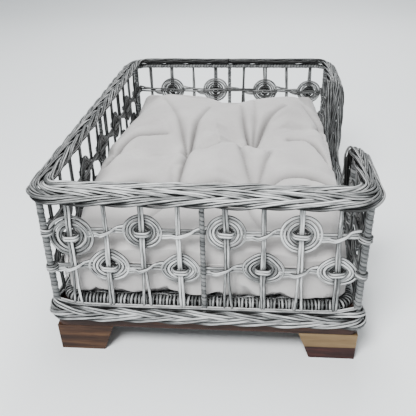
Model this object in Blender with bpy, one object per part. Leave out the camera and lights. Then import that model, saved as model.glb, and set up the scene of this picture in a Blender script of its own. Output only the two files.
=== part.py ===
"""Wicker pet bed basket on a timber base, with a doorway in one long side and a loose cushion.

Metres, +Z up. The origin is the centre of the footprint on the floor. The short front wall
faces -Y, the long way is Y, and the doorway is in the +X wall. A wall is worked out in its own
coordinates: s along it (left to right seen from outside), q inwards from its post line, and z up.
Every wall leans outwards from the base to the rim.
"""
import math

import bmesh
import bpy
from mathutils import Matrix, Vector

# ---- overall sizes
OVERALL_WIDTH = 0.560           # across the rim, X
OVERALL_LENGTH = 0.862          # across the rim, Y
RIM_HEIGHT = 0.305              # centre of the rim's section above the floor
GAP = 0.0003                    # between pieces that touch
CLEAR = 0.0006                  # between a woven piece and the post it meets

# ---- rim braid
RIM_BAND = 0.042                # broad face
RIM_THICK = 0.023
RIM_CHAMFER = 0.006
RIM_TILT = math.radians(31)     # the broad face looks up and outwards
RIM_OUTBOARD = 0.0045           # centre of the rim outside the post line at the top
RIM_CORNER = 0.038              # radius of the centre line in plan
WALL_FLARE = 0.0045             # how far a wall leans out between base and rim

# ---- doorway in the +X wall
DOOR_FRONT_Y = -0.195           # centre line of the front jamb
DOOR_BACK_Y = 0.175
SILL_HEIGHT = 0.140             # centre of the rim's section over the sill
DOOR_BEND = 0.045               # radius of the rim's centre line where it dips

# ---- timber base
FOOT_HEIGHT = 0.050
FOOT_TOP = (0.098, 0.080)       # X and Y at the top
FOOT_BOTTOM = (0.076, 0.066)
FOOT_TUCK = 0.003               # how far the end face slopes in at the floor
RAIL_WIDTH = 0.032
RAIL_HEIGHT = 0.0377
RAIL_OUTSET = 0.0053            # rail's outer face outside the post line
RAIL_ROUND = 0.014              # radius of the base's outer corners in plan
CROSS_WIDTH = 0.032
CROSS_HEIGHT = 0.028
SCREW_HEAD = 0.0100
SCREW_HEAD_DEEP = 0.0040
SCREW_SHANK = 0.0044
SCREW_LENGTH = 0.058
SCREW_RECESS = 0.012            # from the foot's underside to the screw head
SCREW_INSET = 0.060             # from the base's outer corner, along X
SCREW_CLEARANCE = 0.0006        # around the screw, on the radius

# ---- foot border, floor
BORDER_THICK = 0.0105
BORDER_HEIGHT = 0.026
BORDER_CHAMFER = 0.003
POLE_DIAMETER = 0.016           # wrapped pole along each edge of the floor
POLE_INSET = 0.0175             # pole's centre inside the post line
FLOOR_THICK = 0.008

# ---- posts, stakes and knots
CORNER_POST = 0.012
MID_POST = 0.009
DOOR_POST = 0.012
DOOR_POST_GAP = 0.004           # between a door post and the jamb
DOOR_POST_HEAD = 0.002          # between its head and the bend of the rim
STAKE_WIDTH = 0.0095            # a pair of rods side by side
STAKE_THICK = 0.0046
TIE_HEIGHT = 0.004              # binding rod along the stakes' heads
STAKE_PITCH = 0.062             # spacing aimed at; each run is divided evenly
SILL_END = 0.0155               # from the end of the level sill to its first stake
KNOT_RADIUS = 0.031
KNOT_EYE = 0.0085               # hole in the middle of a knot
RUNNER_HEIGHT = 0.014
WEAVE_THICK = 0.0045
UPPER_KNOT_Z = 0.232
LOWER_KNOT_Z = 0.166
BAR_HALF = 0.013                # cross bar over the stake, half its width
BAR_HEIGHT = 0.009
BAR_LEG = 0.004

# ---- cushion
CUSHION_TOP = 0.246
CUSHION_SEAM = 0.168
CUSHION_CLEARANCE = 0.006       # to the rim's inner edge
CUSHION_CORNER = 0.030
COVER_THICK = 0.0012
ZIP_HALF = 0.150
ZIP_OPENING = 0.012
ZIP_TAPE = 0.0016
SLIDER_SIZE = (0.008, 0.004, 0.013)
LABEL_SIZE = (0.012, 0.0010, 0.042)
LABEL_TURN = math.radians(45)   # round the cushion's front left corner, from its front side
LABEL_Z = 0.155

ROUND_SIDES = 12
ARC_STEPS = 5
KNOT_STEPS = 16
SCREW_SIDES = 10

# ---- worked out from the sizes above
RAIL_BOTTOM = FOOT_HEIGHT + GAP
RAIL_TOP = RAIL_BOTTOM + RAIL_HEIGHT
WALL_BASE = RAIL_TOP + GAP
STAKE_END = CORNER_POST / 2 + CLEAR + KNOT_RADIUS

UP = Vector((0, 0, 1))
WALLS = {                       # outward direction and the direction of s
    "front": (Vector((0, -1, 0)), Vector((1, 0, 0))),
    "back": (Vector((0, 1, 0)), Vector((-1, 0, 0))),
    "left": (Vector((-1, 0, 0)), Vector((0, -1, 0))),
    "right": (Vector((1, 0, 0)), Vector((0, 1, 0))),
}


def chamfered(width, height, chamfer):
    """Corner points of a rectangle with cut corners, anticlockwise."""
    w, h, c = width / 2, height / 2, chamfer
    return [(w, -h + c), (w, h - c), (w - c, h), (-w + c, h),
            (-w, h - c), (-w, -h + c), (-w + c, -h), (w - c, -h)]


RIM_SECTION = chamfered(RIM_BAND, RIM_THICK, RIM_CHAMFER)
RIM_REACH = max(b * math.cos(RIM_TILT) + n * math.sin(RIM_TILT) for b, n in RIM_SECTION)
RIM_DROP = max(b * math.sin(RIM_TILT) - n * math.cos(RIM_TILT) for b, n in RIM_SECTION)
RIM_LINE = Vector((OVERALL_WIDTH / 2 - RIM_REACH, OVERALL_LENGTH / 2 - RIM_REACH))
POST_LINE = RIM_LINE - Vector((1, 1)) * (RIM_OUTBOARD + WALL_FLARE)
BASE_EDGE = POST_LINE + Vector((1, 1)) * RAIL_OUTSET


def under_rim(centre_z):
    """Height just under the rim's sloping underside, at the stakes' outer face."""
    beyond = STAKE_THICK / 2 - RIM_OUTBOARD
    drop = RIM_THICK / 2 / math.cos(RIM_TILT) + beyond * math.tan(RIM_TILT)
    return centre_z - drop - CLEAR


WALL_TOP = under_rim(RIM_HEIGHT)


def lean(z):
    """How far a wall stands outside its base line at height z."""
    return WALL_FLARE * (z - WALL_BASE) / (WALL_TOP - WALL_BASE)


def wall_half(side):
    """Distance from the middle of the basket to a wall's post line at the base."""
    return POST_LINE.y if side in ("front", "back") else POST_LINE.x


def wall_length(side):
    """Half the length of a wall between its corner posts' centres."""
    return POST_LINE.x if side in ("front", "back") else POST_LINE.y


def wall_point(side, s, q, z):
    """World place of a point given along, inwards and up on a leaning wall."""
    outward, along = WALLS[side]
    return along * s + outward * (wall_half(side) + lean(z) - q) + UP * z


# ---------------------------------------------------------------- materials
def linear(channel):
    """sRGB channel, 0 to 255, to linear."""
    value = channel / 255
    return value / 12.92 if value <= 0.04045 else ((value + 0.055) / 1.055) ** 2.4


def material(name, rgb, roughness, metallic=0.0):
    """Principled material from an sRGB colour."""
    mat = bpy.data.materials.new(name)
    mat.use_nodes = True
    shader = mat.node_tree.nodes["Principled BSDF"]
    colour = [linear(c) for c in rgb] + [1.0]
    shader.inputs["Base Color"].default_value = colour
    shader.inputs["Roughness"].default_value = roughness
    shader.inputs["Metallic"].default_value = metallic
    mat.diffuse_color = colour
    return mat


# ---------------------------------------------------------------- mesh helpers
def new_object(name, bm, mat=None, smooth=False):
    """Object from a bmesh, with outward faces."""
    bmesh.ops.recalc_face_normals(bm, faces=bm.faces)
    mesh = bpy.data.meshes.new(name)
    bm.to_mesh(mesh)
    bm.free()
    if smooth:
        mesh.shade_smooth()
        mesh.set_sharp_from_angle(angle=math.radians(40))
    obj = bpy.data.objects.new(name, mesh)
    if mat:
        mesh.materials.append(mat)
    bpy.context.scene.collection.objects.link(obj)
    return obj


def add_prism(bm, outline, shift):
    """Closed prism from a flat outline of points and a vector to extrude it by."""
    near = [bm.verts.new(p) for p in outline]
    far = [bm.verts.new(Vector(p) + shift) for p in outline]
    bm.faces.new(near)
    bm.faces.new(reversed(far))
    count = len(near)
    for i in range(count):
        j = (i + 1) % count
        bm.faces.new((near[j], near[i], far[i], far[j]))


def add_box(bm, low, high):
    """Axis-aligned closed box."""
    x0, y0, z0 = low
    x1, y1, z1 = high
    outline = [(x0, y0, z0), (x1, y0, z0), (x1, y1, z0), (x0, y1, z0)]
    add_prism(bm, outline, Vector((0, 0, z1 - z0)))


def bridge_rings(bm, rings, close_loop=False, cap_ends=True):
    """Skin over rings of vertices, closed on itself or capped at both ends."""
    pairs = list(zip(rings, rings[1:]))
    if close_loop:
        pairs.append((rings[-1], rings[0]))
    count = len(rings[0])
    for ring_a, ring_b in pairs:
        for i in range(count):
            j = (i + 1) % count
            bm.faces.new((ring_a[i], ring_a[j], ring_b[j], ring_b[i]))
    if cap_ends and not close_loop:
        bm.faces.new(list(reversed(rings[0])))
        bm.faces.new(rings[-1])


def round_bar(bm, start, end, diameter, flat_ends=False):
    """Straight round bar; flat_ends keeps both ends level, as on a leaning post."""
    start, end = Vector(start), Vector(end)
    along = (end - start).normalized()
    turn = Matrix.Identity(3) if flat_ends else along.to_track_quat("Z", "X").to_matrix()
    rings = []
    for centre in (start, end):
        ring = []
        for k in range(ROUND_SIDES):
            a = 2 * math.pi * (k + 0.5) / ROUND_SIDES
            offset = turn @ Vector((math.cos(a), math.sin(a), 0)) * (diameter / 2)
            ring.append(bm.verts.new(centre + offset))
        rings.append(ring)
    bridge_rings(bm, rings)


def turned(bm, profile, centre, sides):
    """Closed turned solid about a vertical axis, from (radius, z) points, poles as caps."""
    rings = []
    for radius, z in profile:
        ring = []
        for k in range(sides):
            a = 2 * math.pi * k / sides
            ring.append(bm.verts.new((centre[0] + radius * math.cos(a),
                                      centre[1] + radius * math.sin(a), z)))
        rings.append(ring)
    bridge_rings(bm, rings)


def boolean(obj, tool, operation):
    """Live boolean on obj; the tool stays as a wire guide."""
    tool.hide_render = True
    tool.display_type = "WIRE"
    modifier = obj.modifiers.new(operation.lower(), "BOOLEAN")
    modifier.operation = operation
    modifier.solver = "EXACT"
    modifier.object = tool


def rounded_rectangle(half_x, half_y, radius, steps):
    """Outline anticlockwise from the middle of the front side, round corners as arcs."""
    points = [(0.0, -half_y)]
    centres = [(half_x - radius, -half_y + radius, -90), (half_x - radius, half_y - radius, 0),
               (-half_x + radius, half_y - radius, 90), (-half_x + radius, -half_y + radius, 180)]
    for cx, cy, start in centres:
        for k in range(steps + 1):
            a = math.radians(start + 90 * k / steps)
            points.append((cx + radius * math.cos(a), cy + radius * math.sin(a)))
    return points


# ---------------------------------------------------------------- timber base
def corners():
    """The four corners: name and signs of X and Y."""
    return [("front_left", -1, -1), ("front_right", 1, -1), ("back_left", -1, 1), ("back_right", 1, 1)]


def screw_places(sx, sy):
    """Two screws in a foot: one into the end rail, one into the side rail."""
    end_y = BASE_EDGE.y - RAIL_WIDTH / 2
    side_x = BASE_EDGE.x - RAIL_WIDTH / 2
    side_y = BASE_EDGE.y - (RAIL_WIDTH + FOOT_BOTTOM[1]) / 2
    return [(sx * (BASE_EDGE.x - SCREW_INSET), sy * end_y), (sx * side_x, sy * side_y)]


def make_screw(name, place, mat):
    """Countersunk-flat wood screw, head down in the foot."""
    head, shank = SCREW_HEAD / 2, SCREW_SHANK / 2
    z0 = SCREW_RECESS
    z1 = z0 + SCREW_HEAD_DEEP
    top = z0 + SCREW_LENGTH
    profile = [(head, z0), (head, z1 - head + shank), (shank, z1), (shank, top - 2 * shank),
               (shank / 4, top)]
    bm = bmesh.new()
    turned(bm, profile, place, SCREW_SIDES)
    new_object(name, bm, mat, smooth=True)


def screw_hole_tool(name, places):
    """Cutter for the screws: a wide recess below and a clearance hole above."""
    bm = bmesh.new()
    wide = SCREW_HEAD / 2 + SCREW_CLEARANCE
    slim = SCREW_SHANK / 2 + SCREW_CLEARANCE
    step = SCREW_RECESS + SCREW_HEAD_DEEP + GAP
    for place in places:
        profile = [(wide, -SCREW_RECESS), (wide, step), (slim, step),
                   (slim, SCREW_RECESS + SCREW_LENGTH + GAP)]
        turned(bm, profile, place, SCREW_SIDES)
    return new_object(name, bm)


def make_foot(name, sx, sy, mat, tool):
    """Block foot: front or back face upright, the other faces tapered towards the floor."""
    bm = bmesh.new()
    rings = []
    for z, size, tuck in ((0.0, FOOT_BOTTOM, FOOT_TUCK), (FOOT_HEIGHT, FOOT_TOP, 0.0)):
        x0, y0 = sx * (BASE_EDGE.x - tuck), sy * BASE_EDGE.y
        x1, y1 = x0 - sx * size[0], y0 - sy * size[1]
        rings.append([bm.verts.new(p) for p in ((x0, y0, z), (x1, y0, z), (x1, y1, z), (x0, y1, z))])
    bridge_rings(bm, rings)
    boolean(new_object(name, bm, mat), tool, "DIFFERENCE")


def make_rails(mat, tool):
    """Two end rails with rounded outer corners, two side rails and one cross rail."""
    ex, ey = BASE_EDGE
    for name, sy in (("front_rail", -1), ("back_rail", 1)):
        inner = sy * (ey - RAIL_WIDTH)
        outline = [(-ex, inner), (ex, inner)]
        for sx in (1, -1):
            for k in range(ARC_STEPS + 1):
                a = math.radians(90 * (k if sx == 1 else ARC_STEPS - k) / ARC_STEPS)
                outline.append((sx * (ex - RAIL_ROUND + RAIL_ROUND * math.cos(a)),
                                sy * (ey - RAIL_ROUND + RAIL_ROUND * math.sin(a))))
        bm = bmesh.new()
        add_prism(bm, [(x, y, RAIL_BOTTOM) for x, y in outline], Vector((0, 0, RAIL_HEIGHT)))
        boolean(new_object(name, bm, mat), tool, "DIFFERENCE")
    reach = ey - RAIL_WIDTH - GAP
    for name, sx in (("left_rail", -1), ("right_rail", 1)):
        x0, x1 = sorted((sx * ex, sx * (ex - RAIL_WIDTH)))
        bm = bmesh.new()
        add_box(bm, (x0, -reach, RAIL_BOTTOM), (x1, reach, RAIL_TOP))
        boolean(new_object(name, bm, mat), tool, "DIFFERENCE")
    bm = bmesh.new()
    half = ex - RAIL_WIDTH - GAP
    add_box(bm, (-half, -CROSS_WIDTH / 2, RAIL_TOP - CROSS_HEIGHT), (half, CROSS_WIDTH / 2, RAIL_TOP))
    new_object("cross_rail", bm, mat)


def make_base(mats):
    """Feet, rails and the screws between them."""
    places = {name: screw_places(sx, sy) for name, sx, sy in corners()}
    tool = screw_hole_tool("screw_hole_cutter", [p for pair in places.values() for p in pair])
    make_rails(mats["rail_timber"], tool)
    for name, sx, sy in corners():
        foot_mat = mats["foot_timber_light"] if name == "front_right" else mats["foot_timber"]
        make_foot("foot_" + name, sx, sy, foot_mat, tool)
        for part, place in zip(("end", "side"), places[name]):
            make_screw(f"foot_screw_{part}_{name}", place, mats["screw_steel"])


# ---------------------------------------------------------------- swept braids
def sweep_closed(name, stations, section, mat):
    """Ring of a section carried along (centre, broad direction) stations."""
    bm = bmesh.new()
    rings = []
    count = len(stations)
    for i, (centre, broad) in enumerate(stations):
        along = (stations[(i + 1) % count][0] - stations[i - 1][0]).normalized()
        broad = (broad - along * broad.dot(along)).normalized()
        normal = broad.cross(along)
        rings.append([bm.verts.new(centre + broad * b + normal * n) for b, n in section])
    bridge_rings(bm, rings, close_loop=True)
    return new_object(name, bm, mat, smooth=True)


def rim_x(z):
    """The rim's centre line beside the doorway follows the leaning wall."""
    return POST_LINE.x + lean(z) * (WALL_TOP - WALL_BASE) / (RIM_HEIGHT - WALL_BASE) + RIM_OUTBOARD


def rim_stations():
    """Centre line of the rim: a rounded rectangle that dips at the doorway."""
    outline = rounded_rectangle(RIM_LINE.x, RIM_LINE.y, RIM_CORNER, ARC_STEPS)
    stations = []
    door = []
    bends = [(DOOR_FRONT_Y - DOOR_BEND, RIM_HEIGHT - DOOR_BEND, 90, 0),
             (DOOR_FRONT_Y + DOOR_BEND, SILL_HEIGHT + DOOR_BEND, 180, 270),
             (DOOR_BACK_Y - DOOR_BEND, SILL_HEIGHT + DOOR_BEND, 270, 360),
             (DOOR_BACK_Y + DOOR_BEND, RIM_HEIGHT - DOOR_BEND, 180, 90)]
    for cy, cz, start, end in bends:
        for k in range(ARC_STEPS + 1):
            a = math.radians(start + (end - start) * k / ARC_STEPS)
            z = cz + DOOR_BEND * math.sin(a)
            door.append((Vector((rim_x(z), cy + DOOR_BEND * math.cos(a), z)), Vector((1, 0, 0))))
    for i, (x, y) in enumerate(outline):
        corner = Vector((math.copysign(RIM_LINE.x - RIM_CORNER, x),
                         math.copysign(RIM_LINE.y - RIM_CORNER, y)))
        outward = Vector((x, y)) - corner if i else Vector((0, -1))
        stations.append((Vector((x, y, RIM_HEIGHT)), outward.normalized().to_3d()))
        if i == ARC_STEPS + 1:
            stations.extend(door)
    tilt = UP * math.sin(RIM_TILT)
    return [(centre, outward * math.cos(RIM_TILT) - tilt) for centre, outward in stations]


def border_stations():
    """Centre line of the foot border, round the outside of the rails."""
    out = GAP + BORDER_THICK / 2
    z = RAIL_TOP - BORDER_HEIGHT / 2
    outline = rounded_rectangle(BASE_EDGE.x + out, BASE_EDGE.y + out, RAIL_ROUND + out, ARC_STEPS)
    stations = []
    for i, (x, y) in enumerate(outline):
        corner = Vector((math.copysign(BASE_EDGE.x - RAIL_ROUND, x),
                         math.copysign(BASE_EDGE.y - RAIL_ROUND, y)))
        outward = Vector((x, y)) - corner if i else Vector((0, -1))
        stations.append((Vector((x, y, z)), outward.normalized().to_3d()))
    return stations


def make_braids(mats):
    """Rim and foot border."""
    sweep_closed("top_border", rim_stations(), RIM_SECTION, mats["rattan"])
    section = chamfered(BORDER_THICK, BORDER_HEIGHT, BORDER_CHAMFER)
    sweep_closed("foot_border", border_stations(), section, mats["rattan"])


# ---------------------------------------------------------------- floor
def make_floor(mats):
    """Four wrapped poles round the floor and the woven panel between them."""
    px, py = POST_LINE.x - POLE_INSET, POST_LINE.y - POLE_INSET
    z = WALL_BASE + POLE_DIAMETER / 2
    r = POLE_DIAMETER / 2
    for name, sx in (("floor_pole_left", -1), ("floor_pole_right", 1)):
        bm = bmesh.new()
        round_bar(bm, (sx * px, -py - r, z), (sx * px, py + r, z), POLE_DIAMETER)
        new_object(name, bm, mats["wrapped_rattan"], smooth=True)
    for name, sy in (("floor_pole_front", -1), ("floor_pole_back", 1)):
        half = px - r - GAP
        bm = bmesh.new()
        round_bar(bm, (-half, sy * py, z), (half, sy * py, z), POLE_DIAMETER)
        new_object(name, bm, mats["wrapped_rattan"], smooth=True)
    bm = bmesh.new()
    fx, fy = px - r - GAP, py - r - GAP
    add_box(bm, (-fx, -fy, WALL_BASE), (fx, fy, WALL_BASE + FLOOR_THICK))
    new_object("floor_panel", bm, mats["rattan"])


# ---------------------------------------------------------------- posts
def make_post(name, base, top, diameter, mat):
    """Upright wrapped post between two centre points."""
    bm = bmesh.new()
    round_bar(bm, base, top, diameter, flat_ends=True)
    new_object(name, bm, mat, smooth=True)


def mid_post_inset():
    """The thinner middle post is flush with the stakes' inner face."""
    return (STAKE_THICK - MID_POST) / 2


def door_post_s(door_y, away):
    """Centre of a door post along the wall; away is -1 or +1, from the doorway."""
    return door_y + away * (RIM_THICK / 2 + DOOR_POST_GAP + DOOR_POST / 2)


def make_posts(mats):
    """Corner posts, middle posts and the two beside the doorway."""
    mat = mats["wrapped_rattan"]
    corner_top = RIM_HEIGHT - RIM_DROP - CLEAR
    for name, sx, sy in corners():
        ends = []
        for z in (WALL_BASE, corner_top):
            ends.append((sx * (POST_LINE.x + lean(z)), sy * (POST_LINE.y + lean(z)), z))
        make_post("corner_post_" + name, *ends, CORNER_POST, mat)
    mid_top = WALL_TOP - TIE_HEIGHT - GAP
    for side in ("front", "back", "left"):
        ends = [wall_point(side, 0, mid_post_inset(), z) for z in (WALL_BASE, mid_top)]
        make_post("mid_post_" + side, *ends, MID_POST, mat)
    inner_bend = DOOR_BEND - RIM_THICK / 2
    for name, door_y, away in (("front", DOOR_FRONT_Y, -1), ("back", DOOR_BACK_Y, 1)):
        s = door_post_s(door_y, away)
        near_jamb = DOOR_BEND - RIM_THICK / 2 - DOOR_POST_GAP
        head = math.sqrt(inner_bend ** 2 - near_jamb ** 2) - DOOR_POST_HEAD
        top = RIM_HEIGHT - DOOR_BEND + head
        ends = [wall_point("right", s, 0, z) for z in (WALL_BASE, top)]
        make_post("door_post_" + name, *ends, DOOR_POST, mat)


# ---------------------------------------------------------------- stakes
def spaced(first, last):
    """Places from first to last, evenly spaced at about the stake pitch, two at least."""
    steps = max(1, round((last - first) / STAKE_PITCH))
    return [first + (last - first) * k / steps for k in range(steps + 1)]


def whole_wall_stakes(side):
    """Stakes either side of a wall's middle post."""
    right_half = spaced(STAKE_END, wall_length(side) - STAKE_END)
    return [-s for s in reversed(right_half)] + right_half


def door_wall_stakes(part):
    """Stakes between a corner post and a door post."""
    corner = POST_LINE.y - STAKE_END
    if part == "front":
        return spaced(-corner, door_post_s(DOOR_FRONT_Y, -1) - STAKE_END)
    return spaced(door_post_s(DOOR_BACK_Y, 1) + STAKE_END, corner)


def sill_stakes():
    """Short stakes under the doorway's sill."""
    return spaced(DOOR_FRONT_Y + DOOR_BEND + SILL_END, DOOR_BACK_Y - DOOR_BEND - SILL_END)


def make_stakes(name, side, places, top, mat):
    """Stakes of one wall with the binding rod along their heads, as one comb."""
    outline = []
    for s in places:
        left, right = s - STAKE_WIDTH / 2, s + STAKE_WIDTH / 2
        outline += [(left, top - TIE_HEIGHT), (left, WALL_BASE), (right, WALL_BASE),
                    (right, top - TIE_HEIGHT)]
    outline[0] = (outline[0][0], top)
    outline[-1] = (outline[-1][0], top)
    near, far = -STAKE_THICK / 2, STAKE_THICK / 2
    bm = bmesh.new()
    rings = [[bm.verts.new(wall_point(side, s, q, z)) for s, z in outline] for q in (near, far)]
    bridge_rings(bm, rings)
    new_object(name, bm, mat)


def make_all_stakes(mats):
    """Combs of the three whole walls, the two wall parts beside the doorway and the sill."""
    mat = mats["rattan"]
    for side in ("front", "back", "left"):
        make_stakes("stakes_" + side, side, whole_wall_stakes(side), WALL_TOP, mat)
    for part in ("front", "back"):
        make_stakes("stakes_right_" + part, "right", door_wall_stakes(part), WALL_TOP, mat)
    make_stakes("stakes_sill", "right", sill_stakes(), under_rim(SILL_HEIGHT), mat)


# ---------------------------------------------------------------- knots and runners
def band_outline(start, end, z, knots):
    """Outline of a runner with a round knot at each place: straight runs and arcs."""
    half = RUNNER_HEIGHT / 2
    open_angle = math.asin(half / KNOT_RADIUS)
    lower, upper = [(start, z - half)], [(start, z + half)]
    for c in knots:
        for k in range(KNOT_STEPS // 2 + 1):
            a = open_angle + (math.pi - 2 * open_angle) * k / (KNOT_STEPS // 2)
            reach, rise = KNOT_RADIUS * math.cos(a), KNOT_RADIUS * math.sin(a)
            lower.append((c - reach, z - rise))
            upper.append((c - reach, z + rise))
    lower.append((end, z - half))
    upper.append((end, z + half))
    return [(min(max(s, start), end), h) for s, h in reversed(lower + upper[::-1])]


def make_band(name, side, start, end, z, knots, mat):
    """One row of knots with the runner between them, behind the stakes.

    Each knot has an eye, and a cross bar in front of the stake that reaches back through
    the knot's plane on both sides of the stake.
    """
    stake_face = STAKE_THICK / 2 + GAP
    plane = (stake_face, stake_face + WEAVE_THICK)
    bm = bmesh.new()
    outline = band_outline(start, end, z, knots)
    bridge_rings(bm, [[bm.verts.new(wall_point(side, s, q, h)) for s, h in outline] for q in plane])
    band = new_object(name, bm, mat)

    eyes = bmesh.new()
    for c in knots:
        rings = []
        for q in (plane[0] - WEAVE_THICK, plane[1] + WEAVE_THICK):
            ring = []
            for k in range(KNOT_STEPS // 2):
                a = 2 * math.pi * k / (KNOT_STEPS // 2)
                ring.append(eyes.verts.new(wall_point(side, c + KNOT_EYE * math.cos(a), q,
                                                      z + KNOT_EYE * math.sin(a))))
            rings.append(ring)
        bridge_rings(eyes, rings)
    boolean(band, new_object(name + "_eyes", eyes), "DIFFERENCE")

    bars = bmesh.new()
    outer = -stake_face - WEAVE_THICK
    root = plane[0] + WEAVE_THICK / 2
    leg = BAR_HALF - BAR_LEG
    profile = [(-BAR_HALF, root), (-BAR_HALF, outer), (BAR_HALF, outer), (BAR_HALF, root),
               (leg, root), (leg, -stake_face), (-leg, -stake_face), (-leg, root)]
    for c in knots:
        rings = []
        for h in (z - BAR_HEIGHT / 2, z + BAR_HEIGHT / 2):
            rings.append([bars.verts.new(wall_point(side, c + s, q, h)) for s, q in profile])
        bridge_rings(bars, rings)
    boolean(band, new_object(name + "_bars", bars), "UNION")


def make_bands(mats):
    """Upper knots on every second stake from the left of each wall, lower knots on the rest."""
    mat = mats["rattan"]
    runs = []
    for side in ("front", "back", "left"):
        half = wall_length(side) - CORNER_POST / 2 - GAP
        runs.append((side, side, -half, half, whole_wall_stakes(side)))
    half = wall_length("right") - CORNER_POST / 2 - GAP
    jamb = DOOR_POST / 2 + GAP
    runs.append(("right_front", "right", -half, door_post_s(DOOR_FRONT_Y, -1) - jamb,
                 door_wall_stakes("front")))
    runs.append(("right_back", "right", door_post_s(DOOR_BACK_Y, 1) + jamb, half,
                 door_wall_stakes("back")))
    for label, side, start, end, places in runs:
        make_band(f"upper_knots_{label}", side, start, end, UPPER_KNOT_Z, places[0::2], mat)
        make_band(f"lower_knots_{label}", side, start, end, LOWER_KNOT_Z, places[1::2], mat)


# ---------------------------------------------------------------- cushion
def cushion_half():
    """Half sizes of the cushion at its seam: inside the rim's inner edge."""
    inner = max(-b * math.cos(RIM_TILT) - n * math.sin(RIM_TILT) for b, n in RIM_SECTION)
    return RIM_LINE - Vector((1, 1)) * (inner + CUSHION_CLEARANCE)


def cushion_outline(inset):
    """Plan of the cushion, drawn in by inset, with points at both ends of the zip."""
    hx, hy = cushion_half() - Vector((1, 1)) * inset
    points = rounded_rectangle(hx, hy, max(CUSHION_CORNER - inset, CUSHION_CORNER / 5), ARC_STEPS)
    back_corner = 1 + 2 * (ARC_STEPS + 1)
    points[back_corner:back_corner] = [(ZIP_HALF, hy), (-ZIP_HALF, hy)]
    return points


def cushion_levels(skin):
    """Rings from the underside to the crown as (inset, z), drawn in by a skin thickness."""
    bottom = WALL_BASE + FLOOR_THICK + GAP
    height = CUSHION_TOP - bottom
    seam_low, seam_high = CUSHION_SEAM - ZIP_OPENING / 2, CUSHION_SEAM + ZIP_OPENING / 2
    rise = seam_low - bottom
    fall = CUSHION_TOP - seam_high
    levels = [(0.030, bottom), (0.009, bottom + rise * 0.25), (0.0015, bottom + rise * 0.65),
              (0.0, seam_low), (0.0, seam_high), (0.001, seam_high + fall * 0.35),
              (0.006, seam_high + fall * 0.68), (0.022, seam_high + fall * 0.88),
              (0.070, CUSHION_TOP)]
    pull = 1 - 2 * skin / height
    middle = bottom + height / 2
    return [(inset + skin, middle + (z - middle) * pull) for inset, z in levels]


def cushion_rings(bm, skin):
    """Rings of vertices for a cushion surface drawn in by skin."""
    rings = []
    for inset, z in cushion_levels(skin):
        rings.append([bm.verts.new((x, y, z)) for x, y in cushion_outline(inset)])
    return rings


def make_cushion(mats):
    """Cover with a zip opening in its back edge, filling, zip, slider and side label."""
    bm = bmesh.new()
    bridge_rings(bm, cushion_rings(bm, 0))
    half = cushion_half()
    doomed = [f for f in bm.faces
              if abs(f.calc_center_median().z - CUSHION_SEAM) < ZIP_OPENING / 4
              and f.calc_center_median().y > half.y - COVER_THICK
              and abs(f.calc_center_median().x) < ZIP_HALF / 2]
    bmesh.ops.delete(bm, geom=doomed, context="FACES")
    cover = new_object("cushion_cover", bm, mats["cotton_cover"], smooth=True)
    shell = cover.modifiers.new("cloth", "SOLIDIFY")
    shell.thickness = COVER_THICK
    shell.offset = -1

    bm = bmesh.new()
    bridge_rings(bm, cushion_rings(bm, COVER_THICK + 2 * GAP))
    new_object("cushion_filling", bm, mats["fibre_filling"], smooth=True)

    zip_low = CUSHION_SEAM - ZIP_OPENING / 2 + GAP
    zip_high = CUSHION_SEAM + ZIP_OPENING / 2 - GAP
    zip_face = half.y + ZIP_TAPE - COVER_THICK
    bm = bmesh.new()
    add_box(bm, (-ZIP_HALF + GAP, half.y - COVER_THICK, zip_low), (ZIP_HALF - GAP, zip_face, zip_high))
    new_object("zip", bm, mats["zip_tape"])

    bm = bmesh.new()
    x0 = -ZIP_HALF + 2 * GAP
    sx, sy, sz = SLIDER_SIZE
    add_box(bm, (0, 0, -sz / 2), (sx, sy, sz / 2))
    slider = new_object("zip_slider", bm, mats["zip_metal"])
    slider.location = (x0, zip_face + GAP, CUSHION_SEAM)

    bm = bmesh.new()
    sx, sy, sz = LABEL_SIZE
    add_box(bm, (-sx / 2, -sy, -sz / 2), (sx / 2, 0, sz / 2))
    label = new_object("side_label", bm, mats["label_tape"])
    corner = Vector((CUSHION_CORNER - half.x, CUSHION_CORNER - half.y))
    reach = CUSHION_CORNER + GAP
    label.location = (corner.x - reach * math.sin(LABEL_TURN),
                      corner.y - reach * math.cos(LABEL_TURN), LABEL_Z)
    label.rotation_euler.z = -LABEL_TURN


def main():
    """Clear the scene and make every piece."""
    for obj in list(bpy.data.objects):
        bpy.data.objects.remove(obj, do_unlink=True)
    mats = {
        "rattan": material("rattan", (158, 160, 160), 0.55),
        "wrapped_rattan": material("wrapped_rattan", (118, 120, 120), 0.6),
        "rail_timber": material("rail_timber", (78, 50, 42), 0.5),
        "foot_timber": material("foot_timber", (96, 66, 54), 0.5),
        "foot_timber_light": material("foot_timber_light", (140, 112, 92), 0.5),
        "screw_steel": material("screw_steel", (150, 150, 152), 0.35, 1.0),
        "cotton_cover": material("cotton_cover", (212, 209, 209), 0.9),
        "fibre_filling": material("fibre_filling", (236, 236, 236), 0.95),
        "zip_tape": material("zip_tape", (206, 204, 203), 0.8),
        "zip_metal": material("zip_metal", (170, 170, 172), 0.35, 1.0),
        "label_tape": material("label_tape", (222, 220, 219), 0.8),
    }
    make_base(mats)
    make_floor(mats)
    make_braids(mats)
    make_posts(mats)
    make_all_stakes(mats)
    make_bands(mats)
    make_cushion(mats)


main()
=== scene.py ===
"""Looks of the wicker pet bed basket: woven rattan, walnut base and a stuffed cotton cushion.

Woven work is made of round rods: each rod is a centre line, worked out as a formula, and a round
section carried along it. A wall has its own coordinates: s along it from left to right seen from
outside, q inwards from the middle of its stakes, and z up.
"""
import math

import bmesh
import bpy
import numpy as np
from mathutils import Matrix, Vector
from mathutils.bvhtree import BVHTree


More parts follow.
